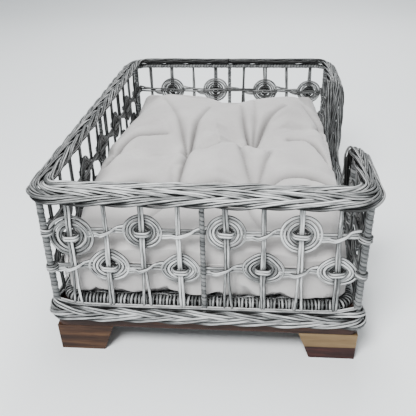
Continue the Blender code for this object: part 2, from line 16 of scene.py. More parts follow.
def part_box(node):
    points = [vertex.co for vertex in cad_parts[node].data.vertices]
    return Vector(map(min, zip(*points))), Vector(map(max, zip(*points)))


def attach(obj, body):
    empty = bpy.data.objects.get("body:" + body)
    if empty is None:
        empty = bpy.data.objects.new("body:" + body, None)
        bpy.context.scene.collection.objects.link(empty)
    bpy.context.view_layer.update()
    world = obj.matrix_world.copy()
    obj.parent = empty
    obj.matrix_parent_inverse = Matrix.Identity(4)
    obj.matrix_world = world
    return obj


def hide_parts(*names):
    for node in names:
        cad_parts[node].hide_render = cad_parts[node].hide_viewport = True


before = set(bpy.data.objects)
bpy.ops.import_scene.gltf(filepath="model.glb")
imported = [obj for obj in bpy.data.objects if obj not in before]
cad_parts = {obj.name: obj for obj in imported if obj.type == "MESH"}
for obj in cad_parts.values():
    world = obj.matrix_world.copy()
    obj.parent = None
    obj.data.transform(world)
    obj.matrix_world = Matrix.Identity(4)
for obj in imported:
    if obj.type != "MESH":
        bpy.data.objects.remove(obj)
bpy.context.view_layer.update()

UP = np.array((0.0, 0.0, 1.0))

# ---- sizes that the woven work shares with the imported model, in metres
ROD = 0.0046                    # round core of the stakes
STAKE_WIDTH = 0.0095            # a stake is two rods side by side
STAKE_PITCH = 0.062             # spacing aimed at; each run is divided evenly
UPPER_KNOT_Z = 0.232
LOWER_KNOT_Z = 0.166
RIM_HEIGHT = 0.305
RIM_BAND = 0.042
RIM_THICK = 0.023
RIM_CHAMFER = 0.006
RIM_TILT = math.radians(31)
RIM_CORNER = 0.038
RIM_OUTBOARD = 0.0045
DOOR_FRONT_Y = -0.195
DOOR_BACK_Y = 0.175
SILL_HEIGHT = 0.140
DOOR_BEND = 0.045
RAIL_ROUND = 0.014
CUSHION_SEAM = 0.168
ZIP_HALF = 0.150

# ---- sizes of the woven work that only show, in metres
HALF_POST = 0.006               # a stretch of wall ends this far from its corner posts' centres
STAKE_STEP = 0.060              # length of border that takes up one ply of a plait
PATH_STEP = 0.0055              # spacing of the points along a plait
WINDING_PITCH = 0.0076          # from strand to strand of the core wound round posts
KNOT_ROD = 0.0023               # radius of the rods in knots and runners
FIRST_KNOT = 1.16               # size of the weaver's first knot beside the others
SIDE_PAINTED_SHADE = 0.62             # painted shade: share of brightness left to the walls other than the front


# ---------------------------------------------------------------- places read from the frame
def wall_line(comb, axis):
    """Base and top distance of a wall's stakes from the middle of the basket, and their heights."""
    low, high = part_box(comb)
    near, far = sorted((abs(low[axis]), abs(high[axis])))
    return near + ROD / 2, far - ROD / 2, low[2], high[2]


END_LINE = wall_line("stakes_front", 1)
SIDE_LINE = wall_line("stakes_left", 0)
WALL_BASE, WALL_TOP = END_LINE[2], END_LINE[3]
WALLS = {                       # outward direction, direction of s, distance at base and at top
    "front": (np.array((0.0, -1.0, 0.0)), np.array((1.0, 0.0, 0.0)), END_LINE),
    "back": (np.array((0.0, 1.0, 0.0)), np.array((-1.0, 0.0, 0.0)), END_LINE),
    "left": (np.array((-1.0, 0.0, 0.0)), np.array((0.0, -1.0, 0.0)), SIDE_LINE),
    "right": (np.array((1.0, 0.0, 0.0)), np.array((0.0, 1.0, 0.0)), SIDE_LINE),
}


def lean(z):
    """How far a wall stands outside its base line at height z."""
    return (END_LINE[1] - END_LINE[0]) * (z - WALL_BASE) / (WALL_TOP - WALL_BASE)


def on_wall(side, s, q, z):
    """World points for arrays s, q, z: along the wall, inwards from its leaning plane, and up."""
    outward, along, line = WALLS[side]
    s, q, z = np.broadcast_arrays(np.asarray(s, float), q, z)
    reach = line[0] + lean(z) - q
    return s[..., None] * along + reach[..., None] * outward + z[..., None] * UP


def half_post(side):
    """Distance along a wall from its middle to its corner posts' centres at the base."""
    return SIDE_LINE[0] if side in ("front", "back") else END_LINE[0]


# ---------------------------------------------------------------- meshes from arrays
def unit(rows):
    """Each row of an array at length one."""
    return rows / np.linalg.norm(rows, axis=1, keepdims=True)


def tube_faces(rows, cols, closed=False):
    """Corner indices and face sizes of a tube: rings of points joined by quads.

    A closed tube joins its last ring to its first; any other has both ends capped.
    """
    i = np.arange(rows if closed else rows - 1)[:, None]
    j = np.arange(cols)[None]
    i_next, j_next = (i + 1) % rows, (j + 1) % cols
    quads = np.stack((i * cols + j, i * cols + j_next, i_next * cols + j_next, i_next * cols + j), -1)
    loops, sizes = [quads.ravel()], [np.full(quads.size // 4, 4)]
    if not closed:
        loops += [np.arange(cols)[::-1], np.arange(cols) + (rows - 1) * cols]
        sizes += [np.array([cols, cols])]
    return np.concatenate(loops), np.concatenate(sizes)


def belongs(piece, body, slot, *nodes):
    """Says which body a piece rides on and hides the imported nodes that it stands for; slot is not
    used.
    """
    if nodes:
        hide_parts(*nodes)
    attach(piece, body)
    return piece


def new_piece(name, verts, loops, sizes, uvs, values, mat):
    """Mesh object from arrays: points, corner indices, corners per face, UVs and point values."""
    mesh = bpy.data.meshes.new(name)
    mesh.vertices.add(len(verts))
    mesh.vertices.foreach_set("co", np.asarray(verts, np.float32).ravel())
    mesh.loops.add(len(loops))
    mesh.loops.foreach_set("vertex_index", np.asarray(loops, np.int32))
    mesh.polygons.add(len(sizes))
    starts = np.concatenate(([0], np.cumsum(sizes)[:-1]))
    mesh.polygons.foreach_set("loop_start", starts.astype(np.int32))
    if uvs is not None:
        layer = mesh.uv_layers.new(name="UVMap")
        layer.data.foreach_set("uv", np.asarray(uvs, np.float32).ravel())
    for label, data in values.items():
        attribute = mesh.attributes.new(label, "FLOAT", "POINT")
        attribute.data.foreach_set("value", np.asarray(data, np.float32))
    mesh.update(calc_edges=True)
    mesh.shade_smooth()
    mesh.materials.append(mat)
    obj = bpy.data.objects.new(name, mesh)
    bpy.context.scene.collection.objects.link(obj)
    return obj


def rod(path, ref, radius=ROD / 2, tone=0.5, shade=1.0, closed=False, roll=0.0):
    """One rod: centre line, a direction square to it, radius, own tone, and painted shade, 0 in a
    crevice.

    The pale crests of a rod, partly wear and partly painted highlight, face along the direction, and
    roll turns them by a share of a turn.
    """
    path = np.asarray(path, float)
    count = len(path)
    return {"path": path, "ref": np.broadcast_to(np.asarray(ref, float), (count, 3)),
            "radius": np.broadcast_to(np.asarray(radius, float), (count,)), "tone": tone,
            "shade": np.broadcast_to(np.asarray(shade, float), (count,)), "closed": closed,
            "roll": roll}


def tube_arrays(item, sides):
    """Skin of one rod: at each point of the centre line, a circle in the plane square to it."""
    path, closed = item["path"], item["closed"]
    if closed:
        along = np.roll(path, -1, 0) - np.roll(path, 1, 0)
    else:
        along = np.gradient(path, axis=0)
    along = unit(along)
    first = unit(item["ref"] - along * np.sum(item["ref"] * along, axis=1, keepdims=True))
    second = np.cross(along, first)
    turn = 2 * np.pi * np.arange(sides) / sides
    ring = np.cos(turn)[:, None] * first[:, None] + np.sin(turn)[:, None] * second[:, None]
    verts = path[:, None] + ring * item["radius"][:, None, None]

    count = len(path)
    loops, sizes = tube_faces(count, sides, closed)
    step = np.linalg.norm(np.diff(path, axis=0, append=path[:1]), axis=1)
    run = np.concatenate(([0.0], np.cumsum(step)))
    rows = np.arange(count if closed else count - 1)[:, None]
    u0 = np.broadcast_to(run[rows], (len(rows), sides))
    u1 = np.broadcast_to(run[rows + 1], (len(rows), sides))
    v0 = np.broadcast_to(np.arange(sides) / sides, u0.shape) + item["roll"]
    v1 = v0 + 1 / sides
    uvs = np.stack((u0, v0, u0, v1, u1, v1, u1, v0), -1).reshape(-1, 2)
    if not closed:
        uvs = np.concatenate((uvs, np.zeros((2 * sides, 2))))
    return (verts.reshape(-1, 3), loops, sizes, uvs,
            np.repeat(item["shade"], sides), np.full(count * sides, item["tone"]))


def rods_piece(name, rods, mat, sides=8):
    """One piece from many rods."""
    parts, base = [], 0
    for item in rods:
        verts, loops, sizes, uvs, shade, tone = tube_arrays(item, sides)
        parts.append((verts, loops + base, sizes, uvs, shade, tone))
        base += len(verts)
    verts, loops, sizes, uvs, shade, tone = (np.concatenate(group) for group in zip(*parts))
    return new_piece(name, verts, loops, sizes, uvs, {"shade": shade, "tone": tone}, mat)


def smooth_path(points, count):
    """Catmull-Rom curve through a few points, sampled evenly in its parameter."""
    pts = np.asarray(points, float)
    pts = np.vstack((2 * pts[0] - pts[1], pts, 2 * pts[-1] - pts[-2]))
    t = np.linspace(0, len(pts) - 3, count)
    i = np.minimum(t.astype(int), len(pts) - 4)
    f = (t - i)[:, None]
    p0, p1, p2, p3 = pts[i], pts[i + 1], pts[i + 2], pts[i + 3]
    return 0.5 * (2 * p1 + (p2 - p0) * f + (2 * p0 - 5 * p1 + 4 * p2 - p3) * f ** 2
                  + (3 * p1 - p0 - 3 * p2 + p3) * f ** 3)


def even_path(points, outward, step, closed=True):
    """Points and directions resampled at even spacing along the line."""
    if closed:
        points = np.vstack((points, points[:1]))
        outward = np.vstack((outward, outward[:1]))
    run = np.concatenate(([0.0], np.cumsum(np.linalg.norm(np.diff(points, axis=0), axis=1))))
    count = int(round(run[-1] / step))
    at = np.linspace(0, run[-1], count + 1)
    pts = np.stack([np.interp(at, run, column) for column in points.T], -1)
    out = np.stack([np.interp(at, run, column) for column in outward.T], -1)
    return at, pts, unit(out)


# ---------------------------------------------------------------- materials
def linear(hex_colour):
    """sRGB hex string to linear RGBA."""
    srgb = np.array([int(hex_colour[i:i + 2], 16) for i in (0, 2, 4)]) / 255
    lin = np.where(srgb <= 0.04045, srgb / 12.92, ((srgb + 0.055) / 1.055) ** 2.4)
    return (*lin, 1.0)


def new_material(name):
    """Empty material with its Principled shader."""
    mat = bpy.data.materials.new(name)
    mat.use_nodes = True
    return mat, mat.node_tree, mat.node_tree.nodes["Principled BSDF"]


def add(tree, kind, settings=None, **links):
    """Adds a node; settings are its properties, links its inputs as values or sockets."""
    node = tree.nodes.new(kind)
    for key, value in (settings or {}).items():
        setattr(node, key, value)
    for key, value in links.items():
        socket = node.inputs[int(key[1:])] if key[0] == "i" and key[1:].isdigit() else node.inputs[key]
        if isinstance(value, bpy.types.NodeSocket):
            tree.links.new(value, socket)
        else:
            socket.default_value = value
    return node


def ramp(tree, factor, stops):
    """Colour ramp with (position, hex colour) stops."""
    node = add(tree, "ShaderNodeValToRGB", i0=factor)
    elements = node.color_ramp.elements
    while len(elements) < len(stops):
        elements.new(0.5)
    for element, (place, colour) in zip(elements, stops):
        element.position = place
        element.color = linear(colour)
    return node.outputs["Color"]


def rattan_material(name, dark, mid, light, groove, roughness, crest):
    """Round rattan core, sun-greyed and whitewashed with a dry brush: long fibres, pale crests partly
    lit with painted highlight, sides in painted shade.

    UV x is metres along a rod and UV y is turns round it, so the fibres run along the rod and its
    crests, at whole and half turns, are pale, partly worn whitewash and partly painted highlight,
    while the sides that touch the next rod get painted shade. Crest is the range of |cos| round the
    rod over which the groove's colour, a painted shade, gives way to the paler one. Every rod has its
    own tone, and the shade attribute paints shade into the crevices.
    """
    mat, tree, shader = new_material(name)
    uv = add(tree, "ShaderNodeUVMap", {"uv_map": "UVMap"}).outputs["UV"]
    tone = add(tree, "ShaderNodeAttribute", {"attribute_name": "tone"}).outputs["Fac"]
    shade = add(tree, "ShaderNodeAttribute", {"attribute_name": "shade"}).outputs["Fac"]
    split = add(tree, "ShaderNodeSeparateXYZ", i0=uv)
    seed = add(tree, "ShaderNodeMath", {"operation": "MULTIPLY"}, i0=tone, i1=37.0).outputs[0]
    # fibres show every 1.5 mm round a rod of 14 mm girth, in streaks of about 25 mm
    run = add(tree, "ShaderNodeMath", {"operation": "MULTIPLY"},
              i0=split.outputs["X"], i1=40.0).outputs[0]
    girth = add(tree, "ShaderNodeMath", {"operation": "MULTIPLY"},
                i0=split.outputs["Y"], i1=9.0).outputs[0]
    place = add(tree, "ShaderNodeCombineXYZ", i0=run, i1=girth, i2=seed).outputs[0]
    fibres = add(tree, "ShaderNodeTexNoise", Vector=place, Scale=1.0, Detail=3.0, Roughness=0.6)
    patch = add(tree, "ShaderNodeCombineXYZ", i0=split.outputs["X"], i1=seed, i2=0.0).outputs[0]
    patches = add(tree, "ShaderNodeTexNoise", Vector=patch, Scale=16.0, Detail=2.0)
    body = add(tree, "ShaderNodeMath", {"operation": "MULTIPLY_ADD"},
               i0=patches.outputs["Fac"], i1=0.55, i2=fibres.outputs["Fac"]).outputs[0]
    body = add(tree, "ShaderNodeMath", {"operation": "MULTIPLY_ADD"},
               i0=tone, i1=0.26, i2=body).outputs[0]
    body = add(tree, "ShaderNodeMath", {"operation": "ADD"}, i0=body, i1=-0.41).outputs[0]
    # painted shade and highlight round each rod: its sides and the crevices marked by the shade
    # attribute take the dark groove colour, its crests a paler, lit colour
    turned = add(tree, "ShaderNodeMath", {"operation": "MULTIPLY"},
                 i0=split.outputs["Y"], i1=2 * math.pi).outputs[0]
    facing = add(tree, "ShaderNodeMath", {"operation": "COSINE"}, i0=turned).outputs[0]
    facing = add(tree, "ShaderNodeMath", {"operation": "ABSOLUTE"}, i0=facing).outputs[0]
    open_side = add(tree, "ShaderNodeMapRange", {"interpolation_type": "SMOOTHSTEP"},
                    Value=facing, i1=crest[0], i2=crest[1]).outputs[0]
    lit = add(tree, "ShaderNodeMath", {"operation": "MULTIPLY"}, i0=open_side, i1=shade).outputs[0]
    brushed_and_lit = add(tree, "ShaderNodeMath", {"operation": "MULTIPLY_ADD"},
                  i0=lit, i1=0.22, i2=body).outputs[0]
    colour = ramp(tree, brushed_and_lit, [(0.30, dark), (0.56, mid), (0.84, light)])
    final = add(tree, "ShaderNodeMix", {"data_type": "RGBA"},
                i0=lit, i6=linear(groove), i7=colour).outputs[2]
    tree.links.new(final, shader.inputs["Base Color"])
    rough = add(tree, "ShaderNodeMath", {"operation": "MULTIPLY_ADD"},
                i0=fibres.outputs["Fac"], i1=0.25, i2=roughness - 0.12).outputs[0]
    tree.links.new(rough, shader.inputs["Roughness"])
    shader.inputs["Specular IOR Level"].default_value = 0.32
    bump = add(tree, "ShaderNodeBump", Strength=0.35, Distance=0.0006, Height=fibres.outputs["Fac"])
    tree.links.new(bump.outputs[0], shader.inputs["Normal"])
    return mat


def timber_material(name, grain_axis, colours, band=None):
    """Oiled walnut: growth rings stretched along the grain, fine pores, satin.

    Rings about 8 mm wide are noise stretched 14 times along the grain, and pores are 1 mm wide.
    Band, if given, is (low, high, (dark, light), slope) for a streak of sapwood between two heights
    that slope along the grain.
    """
    mat, tree, shader = new_material(name)
    place = add(tree, "ShaderNodeTexCoord").outputs["Object"]
    stretch = [1.0, 1.0, 1.0]
    stretch[grain_axis] = 0.07
    rings_at = add(tree, "ShaderNodeMapping", Vector=place, Scale=[s * 120 for s in stretch])
    rings = add(tree, "ShaderNodeTexNoise", Vector=rings_at.outputs[0], Scale=1.0, Detail=4.0,
                Roughness=0.55, Distortion=0.6)
    pores_at = add(tree, "ShaderNodeMapping", Vector=place, Scale=[s * 900 for s in stretch])
    pores = add(tree, "ShaderNodeTexNoise", Vector=pores_at.outputs[0], Scale=1.0, Detail=2.0)
    mixed = add(tree, "ShaderNodeMath", {"operation": "MULTIPLY_ADD"},
                i0=pores.outputs["Fac"], i1=0.25, i2=-0.12).outputs[0]
    mixed = add(tree, "ShaderNodeMath", {"operation": "ADD"},
                i0=rings.outputs["Fac"], i1=mixed).outputs[0]
    colour = ramp(tree, mixed, list(zip((0.3, 0.5, 0.72), colours)))
    if band:
        low, high, sap, slope = band
        axes = add(tree, "ShaderNodeSeparateXYZ", i0=place)
        level = add(tree, "ShaderNodeMath", {"operation": "MULTIPLY_ADD"},
                    i0=axes.outputs[grain_axis], i1=slope, i2=axes.outputs["Z"]).outputs[0]
        wobble = add(tree, "ShaderNodeMath", {"operation": "MULTIPLY_ADD"},
                     i0=rings.outputs["Fac"], i1=0.006, i2=level).outputs[0]
        inside = add(tree, "ShaderNodeMapRange", {"interpolation_type": "SMOOTHSTEP"},
                     Value=wobble, i1=low - 0.001, i2=low + 0.001)
        over = add(tree, "ShaderNodeMapRange", {"interpolation_type": "SMOOTHSTEP"},
                   Value=wobble, i1=high + 0.001, i2=high - 0.001)
        mask = add(tree, "ShaderNodeMath", {"operation": "MULTIPLY"},
                   i0=inside.outputs[0], i1=over.outputs[0]).outputs[0]
        pale = ramp(tree, mixed, [(0.2, sap[0]), (0.75, sap[1])])
        colour = add(tree, "ShaderNodeMix", {"data_type": "RGBA"},
                     i0=mask, i6=colour, i7=pale).outputs[2]
    tree.links.new(colour, shader.inputs["Base Color"])
    shader.inputs["Roughness"].default_value = 0.55
    shader.inputs["Specular IOR Level"].default_value = 0.25
    bump = add(tree, "ShaderNodeBump", Strength=0.25, Distance=0.0004, Height=mixed)
    tree.links.new(bump.outputs[0], shader.inputs["Normal"])
    return mat


def cotton_material(name, light, dark, weave_mm, painted_crease_shade=False):
    """Plain-woven unbleached cotton: matt, a fine over-and-under weave and faint slubs.

    The weave is two sets of waves across each other, drawn coarser than the real thread so that
    it still shows. With painted crease shade, the cloth is greyer where the shade attribute marks a
    crease.
    """
    mat, tree, shader = new_material(name)
    place = add(tree, "ShaderNodeTexCoord").outputs["Object"]
    axes = add(tree, "ShaderNodeSeparateXYZ", i0=place)
    waves = []
    turns = 2 * math.pi / (weave_mm / 1000)
    for axis in ("X", "Y", "Z"):
        scaled = add(tree, "ShaderNodeMath", {"operation": "MULTIPLY"},
                     i0=axes.outputs[axis], i1=turns).outputs[0]
        waves.append(add(tree, "ShaderNodeMath", {"operation": "SINE"}, i0=scaled).outputs[0])
    total = add(tree, "ShaderNodeMath", {"operation": "ADD"}, i0=waves[0], i1=waves[1]).outputs[0]
    total = add(tree, "ShaderNodeMath", {"operation": "ADD"}, i0=total, i1=waves[2]).outputs[0]
    slub = add(tree, "ShaderNodeTexNoise", Vector=place, Scale=260.0, Detail=3.0, Roughness=0.7)
    soft = add(tree, "ShaderNodeTexNoise", Vector=place, Scale=9.0, Detail=3.0)
    level = add(tree, "ShaderNodeMath", {"operation": "MULTIPLY_ADD"},
                i0=slub.outputs["Fac"], i1=0.35, i2=soft.outputs["Fac"]).outputs[0]
    colour = ramp(tree, level, [(0.45, dark), (0.85, light)])
    if painted_crease_shade:
        # painted shade in the creases
        shade = add(tree, "ShaderNodeAttribute", {"attribute_name": "shade"}).outputs["Fac"]
        grey = ramp(tree, shade, [(0.0, "777574"), (1.0, "ffffff")])
        colour = add(tree, "ShaderNodeMix", {"data_type": "RGBA", "blend_type": "MULTIPLY"},
                     i0=1.0, i6=colour, i7=grey).outputs[2]
    tree.links.new(colour, shader.inputs["Base Color"])
    shader.inputs["Roughness"].default_value = 0.92
    shader.inputs["Sheen Weight"].default_value = 0.25
    shader.inputs["Sheen Roughness"].default_value = 0.5
    height = add(tree, "ShaderNodeMath", {"operation": "MULTIPLY_ADD"},
                 i0=slub.outputs["Fac"], i1=2.0, i2=total).outputs[0]
    bump = add(tree, "ShaderNodeBump", Strength=0.25, Distance=0.0003, Height=height)
    tree.links.new(bump.outputs[0], shader.inputs["Normal"])
    return mat


def metal_material(name, colour, roughness):
    """Zinc-plated steel: bright, with fine scratches."""
    mat, tree, shader = new_material(name)
    place = add(tree, "ShaderNodeTexCoord").outputs["Object"]
    marks = add(tree, "ShaderNodeTexNoise", Vector=place, Scale=900.0, Detail=3.0)
    rough = add(tree, "ShaderNodeMath", {"operation": "MULTIPLY_ADD"},
                i0=marks.outputs["Fac"], i1=0.3, i2=roughness - 0.15).outputs[0]
    shade = ramp(tree, marks.outputs["Fac"], [(0.3, "8f9194"), (0.7, colour)])
    tree.links.new(shade, shader.inputs["Base Color"])
    tree.links.new(rough, shader.inputs["Roughness"])
    shader.inputs["Metallic"].default_value = 1.0
    return mat


def studio_material(name, colour):
    """Seamless pale studio paper, matt all over."""
    mat, _tree, shader = new_material(name)
    shader.inputs["Base Color"].default_value = linear(colour)
    shader.inputs["Roughness"].default_value = 0.85
    return mat


# ---------------------------------------------------------------- rim and foot border
def rim_section_reach():
    """How far the tilted rim reaches outside its centre line."""
    w, h = RIM_BAND / 2, RIM_THICK / 2
    return w * math.cos(RIM_TILT) + (h - RIM_CHAMFER) * math.sin(RIM_TILT)


def rounded_plan(half_x, half_y, radius, arc_points):
    """Plan points and outward directions, anticlockwise from the middle of the back side.

    Straight sides are left to the arcs' end points; each corner is a quarter circle.
    """
    points, outward = [(0.0, half_y)], [(0.0, 1.0)]
    corners = [(-1, 1, 90), (-1, -1, 180), (1, -1, 270), (1, 1, 0)]
    for sx, sy, start in corners:
        a = np.radians(start + np.linspace(0, 90, arc_points))
        centre = np.array((sx * (half_x - radius), sy * (half_y - radius)))
        ring = np.stack((np.cos(a), np.sin(a)), -1)
        points.extend(centre + radius * ring)
        outward.extend(ring)
    return np.array(points), np.array(outward)


def level_ring(half_x, half_y, radius, z, step, arc_points=13):
    """Evenly spaced run, points and outward directions round a rounded rectangle at one height."""
    plan, outward = rounded_plan(half_x, half_y, radius, arc_points)
    flat = np.zeros((len(plan), 1))
    return even_path(np.hstack((plan, flat + z)), np.hstack((outward, flat)), step)


def rim_line():
    """Centre line of the rim, dipping at the doorway, with its outward directions."""
    low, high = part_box("top_border")
    half_x, half_y = high[0] - rim_section_reach(), high[1] - rim_section_reach()
    plan, outward = rounded_plan(half_x, half_y, RIM_CORNER, 25)
    height = np.full((len(plan), 1), RIM_HEIGHT)
    points = np.hstack((plan, height))
    outward = np.hstack((outward, height * 0))
    bends = [(DOOR_FRONT_Y - DOOR_BEND, RIM_HEIGHT - DOOR_BEND, 90, 0),
             (DOOR_FRONT_Y + DOOR_BEND, SILL_HEIGHT + DOOR_BEND, 180, 270),
             (DOOR_BACK_Y - DOOR_BEND, SILL_HEIGHT + DOOR_BEND, 270, 360),
             (DOOR_BACK_Y + DOOR_BEND, RIM_HEIGHT - DOOR_BEND, 180, 90)]
    door = []
    for cy, cz, start, end in bends:
        a = np.radians(np.linspace(start, end, 25))
        z = cz + DOOR_BEND * np.sin(a)
        x = half_x + lean(z) - lean(RIM_HEIGHT)
        door.append(np.stack((x, cy + DOOR_BEND * np.cos(a), z), -1))
    door = np.vstack(door)
    # the doorway lies between the front right and the back right corner
    cut = 1 + 3 * 25
    points = np.vstack((points[:cut], door, points[cut:]))
    outward = np.vstack((outward[:cut], np.tile((1.0, 0.0, 0.0), (len(door), 1)), outward[cut:]))
    return points, outward


def along_line(pts):
    """Unit directions along a closed line, from its evenly spaced points."""
    along = np.gradient(pts, axis=0)
    along[0] = along[-1] = pts[1] - pts[0] + pts[-1] - pts[-2]
    return unit(along)


def plait(run, pts, broad, normal, lanes, plies, half_width, lift, arch, radius, rng):
    """Flat plait of two-rod plies laid along a closed line.

    Each ply zigzags from edge to edge (u from -1 to 1) once in plies * STAKE_STEP, and rises over and
    dives under the others as sin(2 pi lanes phase), so each of the lanes shows one direction.
    The ply's rods lie side by side; arch bulges the middle of the plait.
    """
    period = run[-1] / round(run[-1] / STAKE_STEP) * plies
    rods = []
    for ply in range(plies):
        phase = (run / period + ply / plies) % 1.0
        u = np.arcsin(0.985 * np.sin(2 * np.pi * (phase - 0.25))) / np.arcsin(0.985)
        v = np.tanh(1.7 * np.sin(2 * np.pi * lanes * phase)) / np.tanh(1.7)
        for hand in (-1, 1):
            wander = 0.0006 * np.sin(run * rng.uniform(25, 60) + rng.uniform(0, 6))
            level = 0.0005 * np.sin(run * rng.uniform(20, 50) + rng.uniform(0, 6))
            b = -u * half_width + hand * radius * 1.04 + wander
            n = v * lift + arch * (0.5 - u ** 2) + level
            path = pts + broad * b[:, None] + normal * n[:, None]
            # painted shade: a rod darkens where it dives under the others
            shade = np.clip(0.58 + 0.60 * v, 0.0, 1.0)
            rods.append(rod(path, normal, radius * rng.uniform(0.95, 1.05), rng.uniform(), shade))
    return rods


def wound_rod(name, pts, out, radius, ridge, across, mat, number=0):
    """Rod wound closely with core, along a line of evenly spaced points.

    The radius swells and sinks along a helix, as the root of a half circle across each strand;
    UV y is half a turn for each strand, so its crests are pale and the grooves get painted shade.
    """
    along = unit(np.gradient(pts, axis=0))
    side = unit(out - along * np.sum(out * along, axis=1, keepdims=True))
    other = np.cross(along, side)
    run = np.concatenate(([0.0], np.cumsum(np.linalg.norm(np.diff(pts, axis=0), axis=1))))
    a = 2 * np.pi * np.arange(across + 1)[None] / across
    turns = run[:, None] / WINDING_PITCH + a / (2 * np.pi)
    swell = np.abs(np.cos(np.pi * turns)) ** 0.6
    strand = np.floor(turns + 0.5)
    r = radius - ridge * (1 - swell) + 0.0003 * np.sin(strand * 2.4 + number)
    r, strand, swell = r[:, :-1], strand[:, :-1], swell[:, :-1]
    ring = np.cos(a)[..., None] * side[:, None] + np.sin(a)[..., None] * other[:, None]
    verts = pts[:, None] + r[..., None] * ring[:, :-1]
    loops, sizes = tube_faces(len(pts), across)
    girth = a * radius
    shape = (len(pts) - 1, across)
    u0, u1 = (np.broadcast_to(part, shape) for part in (girth[:, :-1], girth[:, 1:]))
    v = turns / 2
    uvs = np.stack((u0, v[:-1, :-1], u1, v[:-1, 1:], u1, v[1:, 1:], u0, v[1:, :-1]), -1).reshape(-1, 2)
    uvs = np.concatenate((uvs, np.zeros((2 * across, 2))))
    # each strand has its own tone, from a fixed scramble of its number
    tone = np.sin(strand * 12.9898 + number) * 43758.5453 % 1.0
    # painted shade: the shade attribute darkens the grooves between strands
    return new_piece(name, verts.reshape(-1, 3), loops, sizes, uvs,
                     {"shade": (0.55 + 0.45 * swell).ravel(), "tone": tone.ravel()}, mat)


def rim_frame(step):
    """Rim line resampled, with its broad and normal directions.

    The band tilts outwards and down; on the left side it lies flatter.
    """
    run, pts, out = even_path(*rim_line(), step)
    tilt = RIM_TILT - math.radians(11) * np.clip(-out[:, :1], 0, 1)
    along = along_line(pts)
    broad = out * np.cos(tilt) - UP * np.sin(tilt)
    broad = unit(broad - along * np.sum(broad * along, axis=1, keepdims=True))
    return run, pts, broad, np.cross(broad, along)


def make_rim(mats):
    """Wide plait of the rim, three lanes and one ply for each stake, over a wound frame rod."""
    rng = np.random.default_rng(11)
    run, pts, broad, normal = rim_frame(PATH_STEP)
    half_width = 0.0184 + 0.0024 * np.clip(-broad[:, 0], 0, 1)
    rods = plait(run, pts, broad, normal, lanes=3, plies=11, half_width=half_width,
                 lift=0.0036, arch=0.0048, radius=0.0021, rng=rng)
    # painted shade: the long sides are darker than the ends
    for item in rods:
        item["shade"] = item["shade"] * (1 - 0.42 * np.abs(broad[:, 0]) / math.cos(RIM_TILT))
    belongs(rods_piece("top_border_plait", rods, mats["rattan"], sides=6), "basket", "rattan",
            "top_border")
    run, pts, broad, normal = rim_frame(0.0011)
    line = pts - normal * 0.0112 - broad * 0.0010
    belongs(wound_rod("top_border_frame_rod", line, broad, 0.0050, 0.0008, 8, mats["wound"]),
            "basket", "wrapped_rattan")


def make_foot_border(mats):
    """Two-lane plait round the rails; at the corners it climbs round the feet of the posts."""
    rng = np.random.default_rng(12)
    low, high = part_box("front_rail")
    edge_x, edge_y, top = high[0], abs(low[1]), high[2]

    def near_corner(at):
        """One at the rails' corners, falling to nothing over 30 mm."""
        return np.exp(-(np.hypot(edge_x - np.abs(at[:, 0]), edge_y - np.abs(at[:, 1])) / 0.030) ** 2)

    def ring_round(reach, z, step):
        """Even ring this far outside the rails."""
        return level_ring(edge_x + reach, edge_y + reach, RAIL_ROUND + reach, z, step)

    run, pts, out = ring_round(0.0046, top - 0.0085, PATH_STEP)
    climb = near_corner(pts)
    tilt = math.radians(76)
    broad = out * math.cos(tilt) - UP * math.sin(tilt)
    normal = np.cross(broad, along_line(pts))
    pts = pts + UP * (0.0075 * climb)[:, None] + out * (0.0016 * climb)[:, None]
    rods = plait(run, pts, broad, normal, lanes=2, plies=5, half_width=0.0094 + 0.0062 * climb,
                 lift=0.0026, arch=0.0030, radius=0.0023, rng=rng)
    # painted shade: the whole plait is darkened a little
    for item in rods:
        item["shade"] = item["shade"] * 0.86
    # two plain rods bed the stakes' feet above the plait, in a little painted shade
    for reach, z, radius in ((-0.0050, top + 0.0042, 0.0025), (0.0012, top + 0.0052, 0.0024)):
        ring = ring_round(reach, z, 0.006)[1]
        ring = ring + UP * (0.010 * near_corner(ring))[:, None]
        rods.append(rod(ring[:-1], UP, radius, rng.uniform(), 0.85, closed=True))
    belongs(rods_piece("foot_border_plait", rods, mats["rattan"], sides=6), "basket", "rattan",
            "foot_border")


# ---------------------------------------------------------------- stakes, knots, runners
def spaced(first, last):
    """Places from first to last, evenly spaced at about the stake pitch, two at least."""
    steps = max(1, round((last - first) / STAKE_PITCH))
    return np.linspace(first, last, steps + 1)


def stake_places(comb, side, mid_post=False):
    """Stake centres read from a comb's box: two even runs about a middle post, or one run."""
    low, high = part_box(comb)
    axis = 0 if side in ("front", "back") else 1
    first, last = low[axis] + STAKE_WIDTH / 2, high[axis] - STAKE_WIDTH / 2
    if not mid_post:
        return spaced(first, last)
    end = half_post(side) - last
    right = spaced(end, last)
    return np.concatenate((-right[::-1], right))


def wall_runs():
    """Each woven stretch: label, side, its ends along the wall and its stakes with their slants."""
    runs = []
    for side in ("front", "back", "left"):
        half = half_post(side) - HALF_POST
        runs.append([side, side, -half, half, stake_places("stakes_" + side, side, True)])
    half = half_post("right") - HALF_POST
    door_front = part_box("door_post_front")
    door_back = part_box("door_post_back")
    runs.append(["right_front", "right", -half, door_front[0][1],
                 stake_places("stakes_right_front", "right")])
    runs.append(["right_back", "right", door_back[1][1], half,
                 stake_places("stakes_right_back", "right")])
    rng = np.random.default_rng(5)
    for run in runs:
        run.append(rng.uniform(-0.020, 0.020, len(run[4])))
    return runs


def stake_s(place, slant, z):
    """A stake slants a little: its place along the wall at height z."""
    return place + slant * (z - (UPPER_KNOT_Z + LOWER_KNOT_Z) / 2)


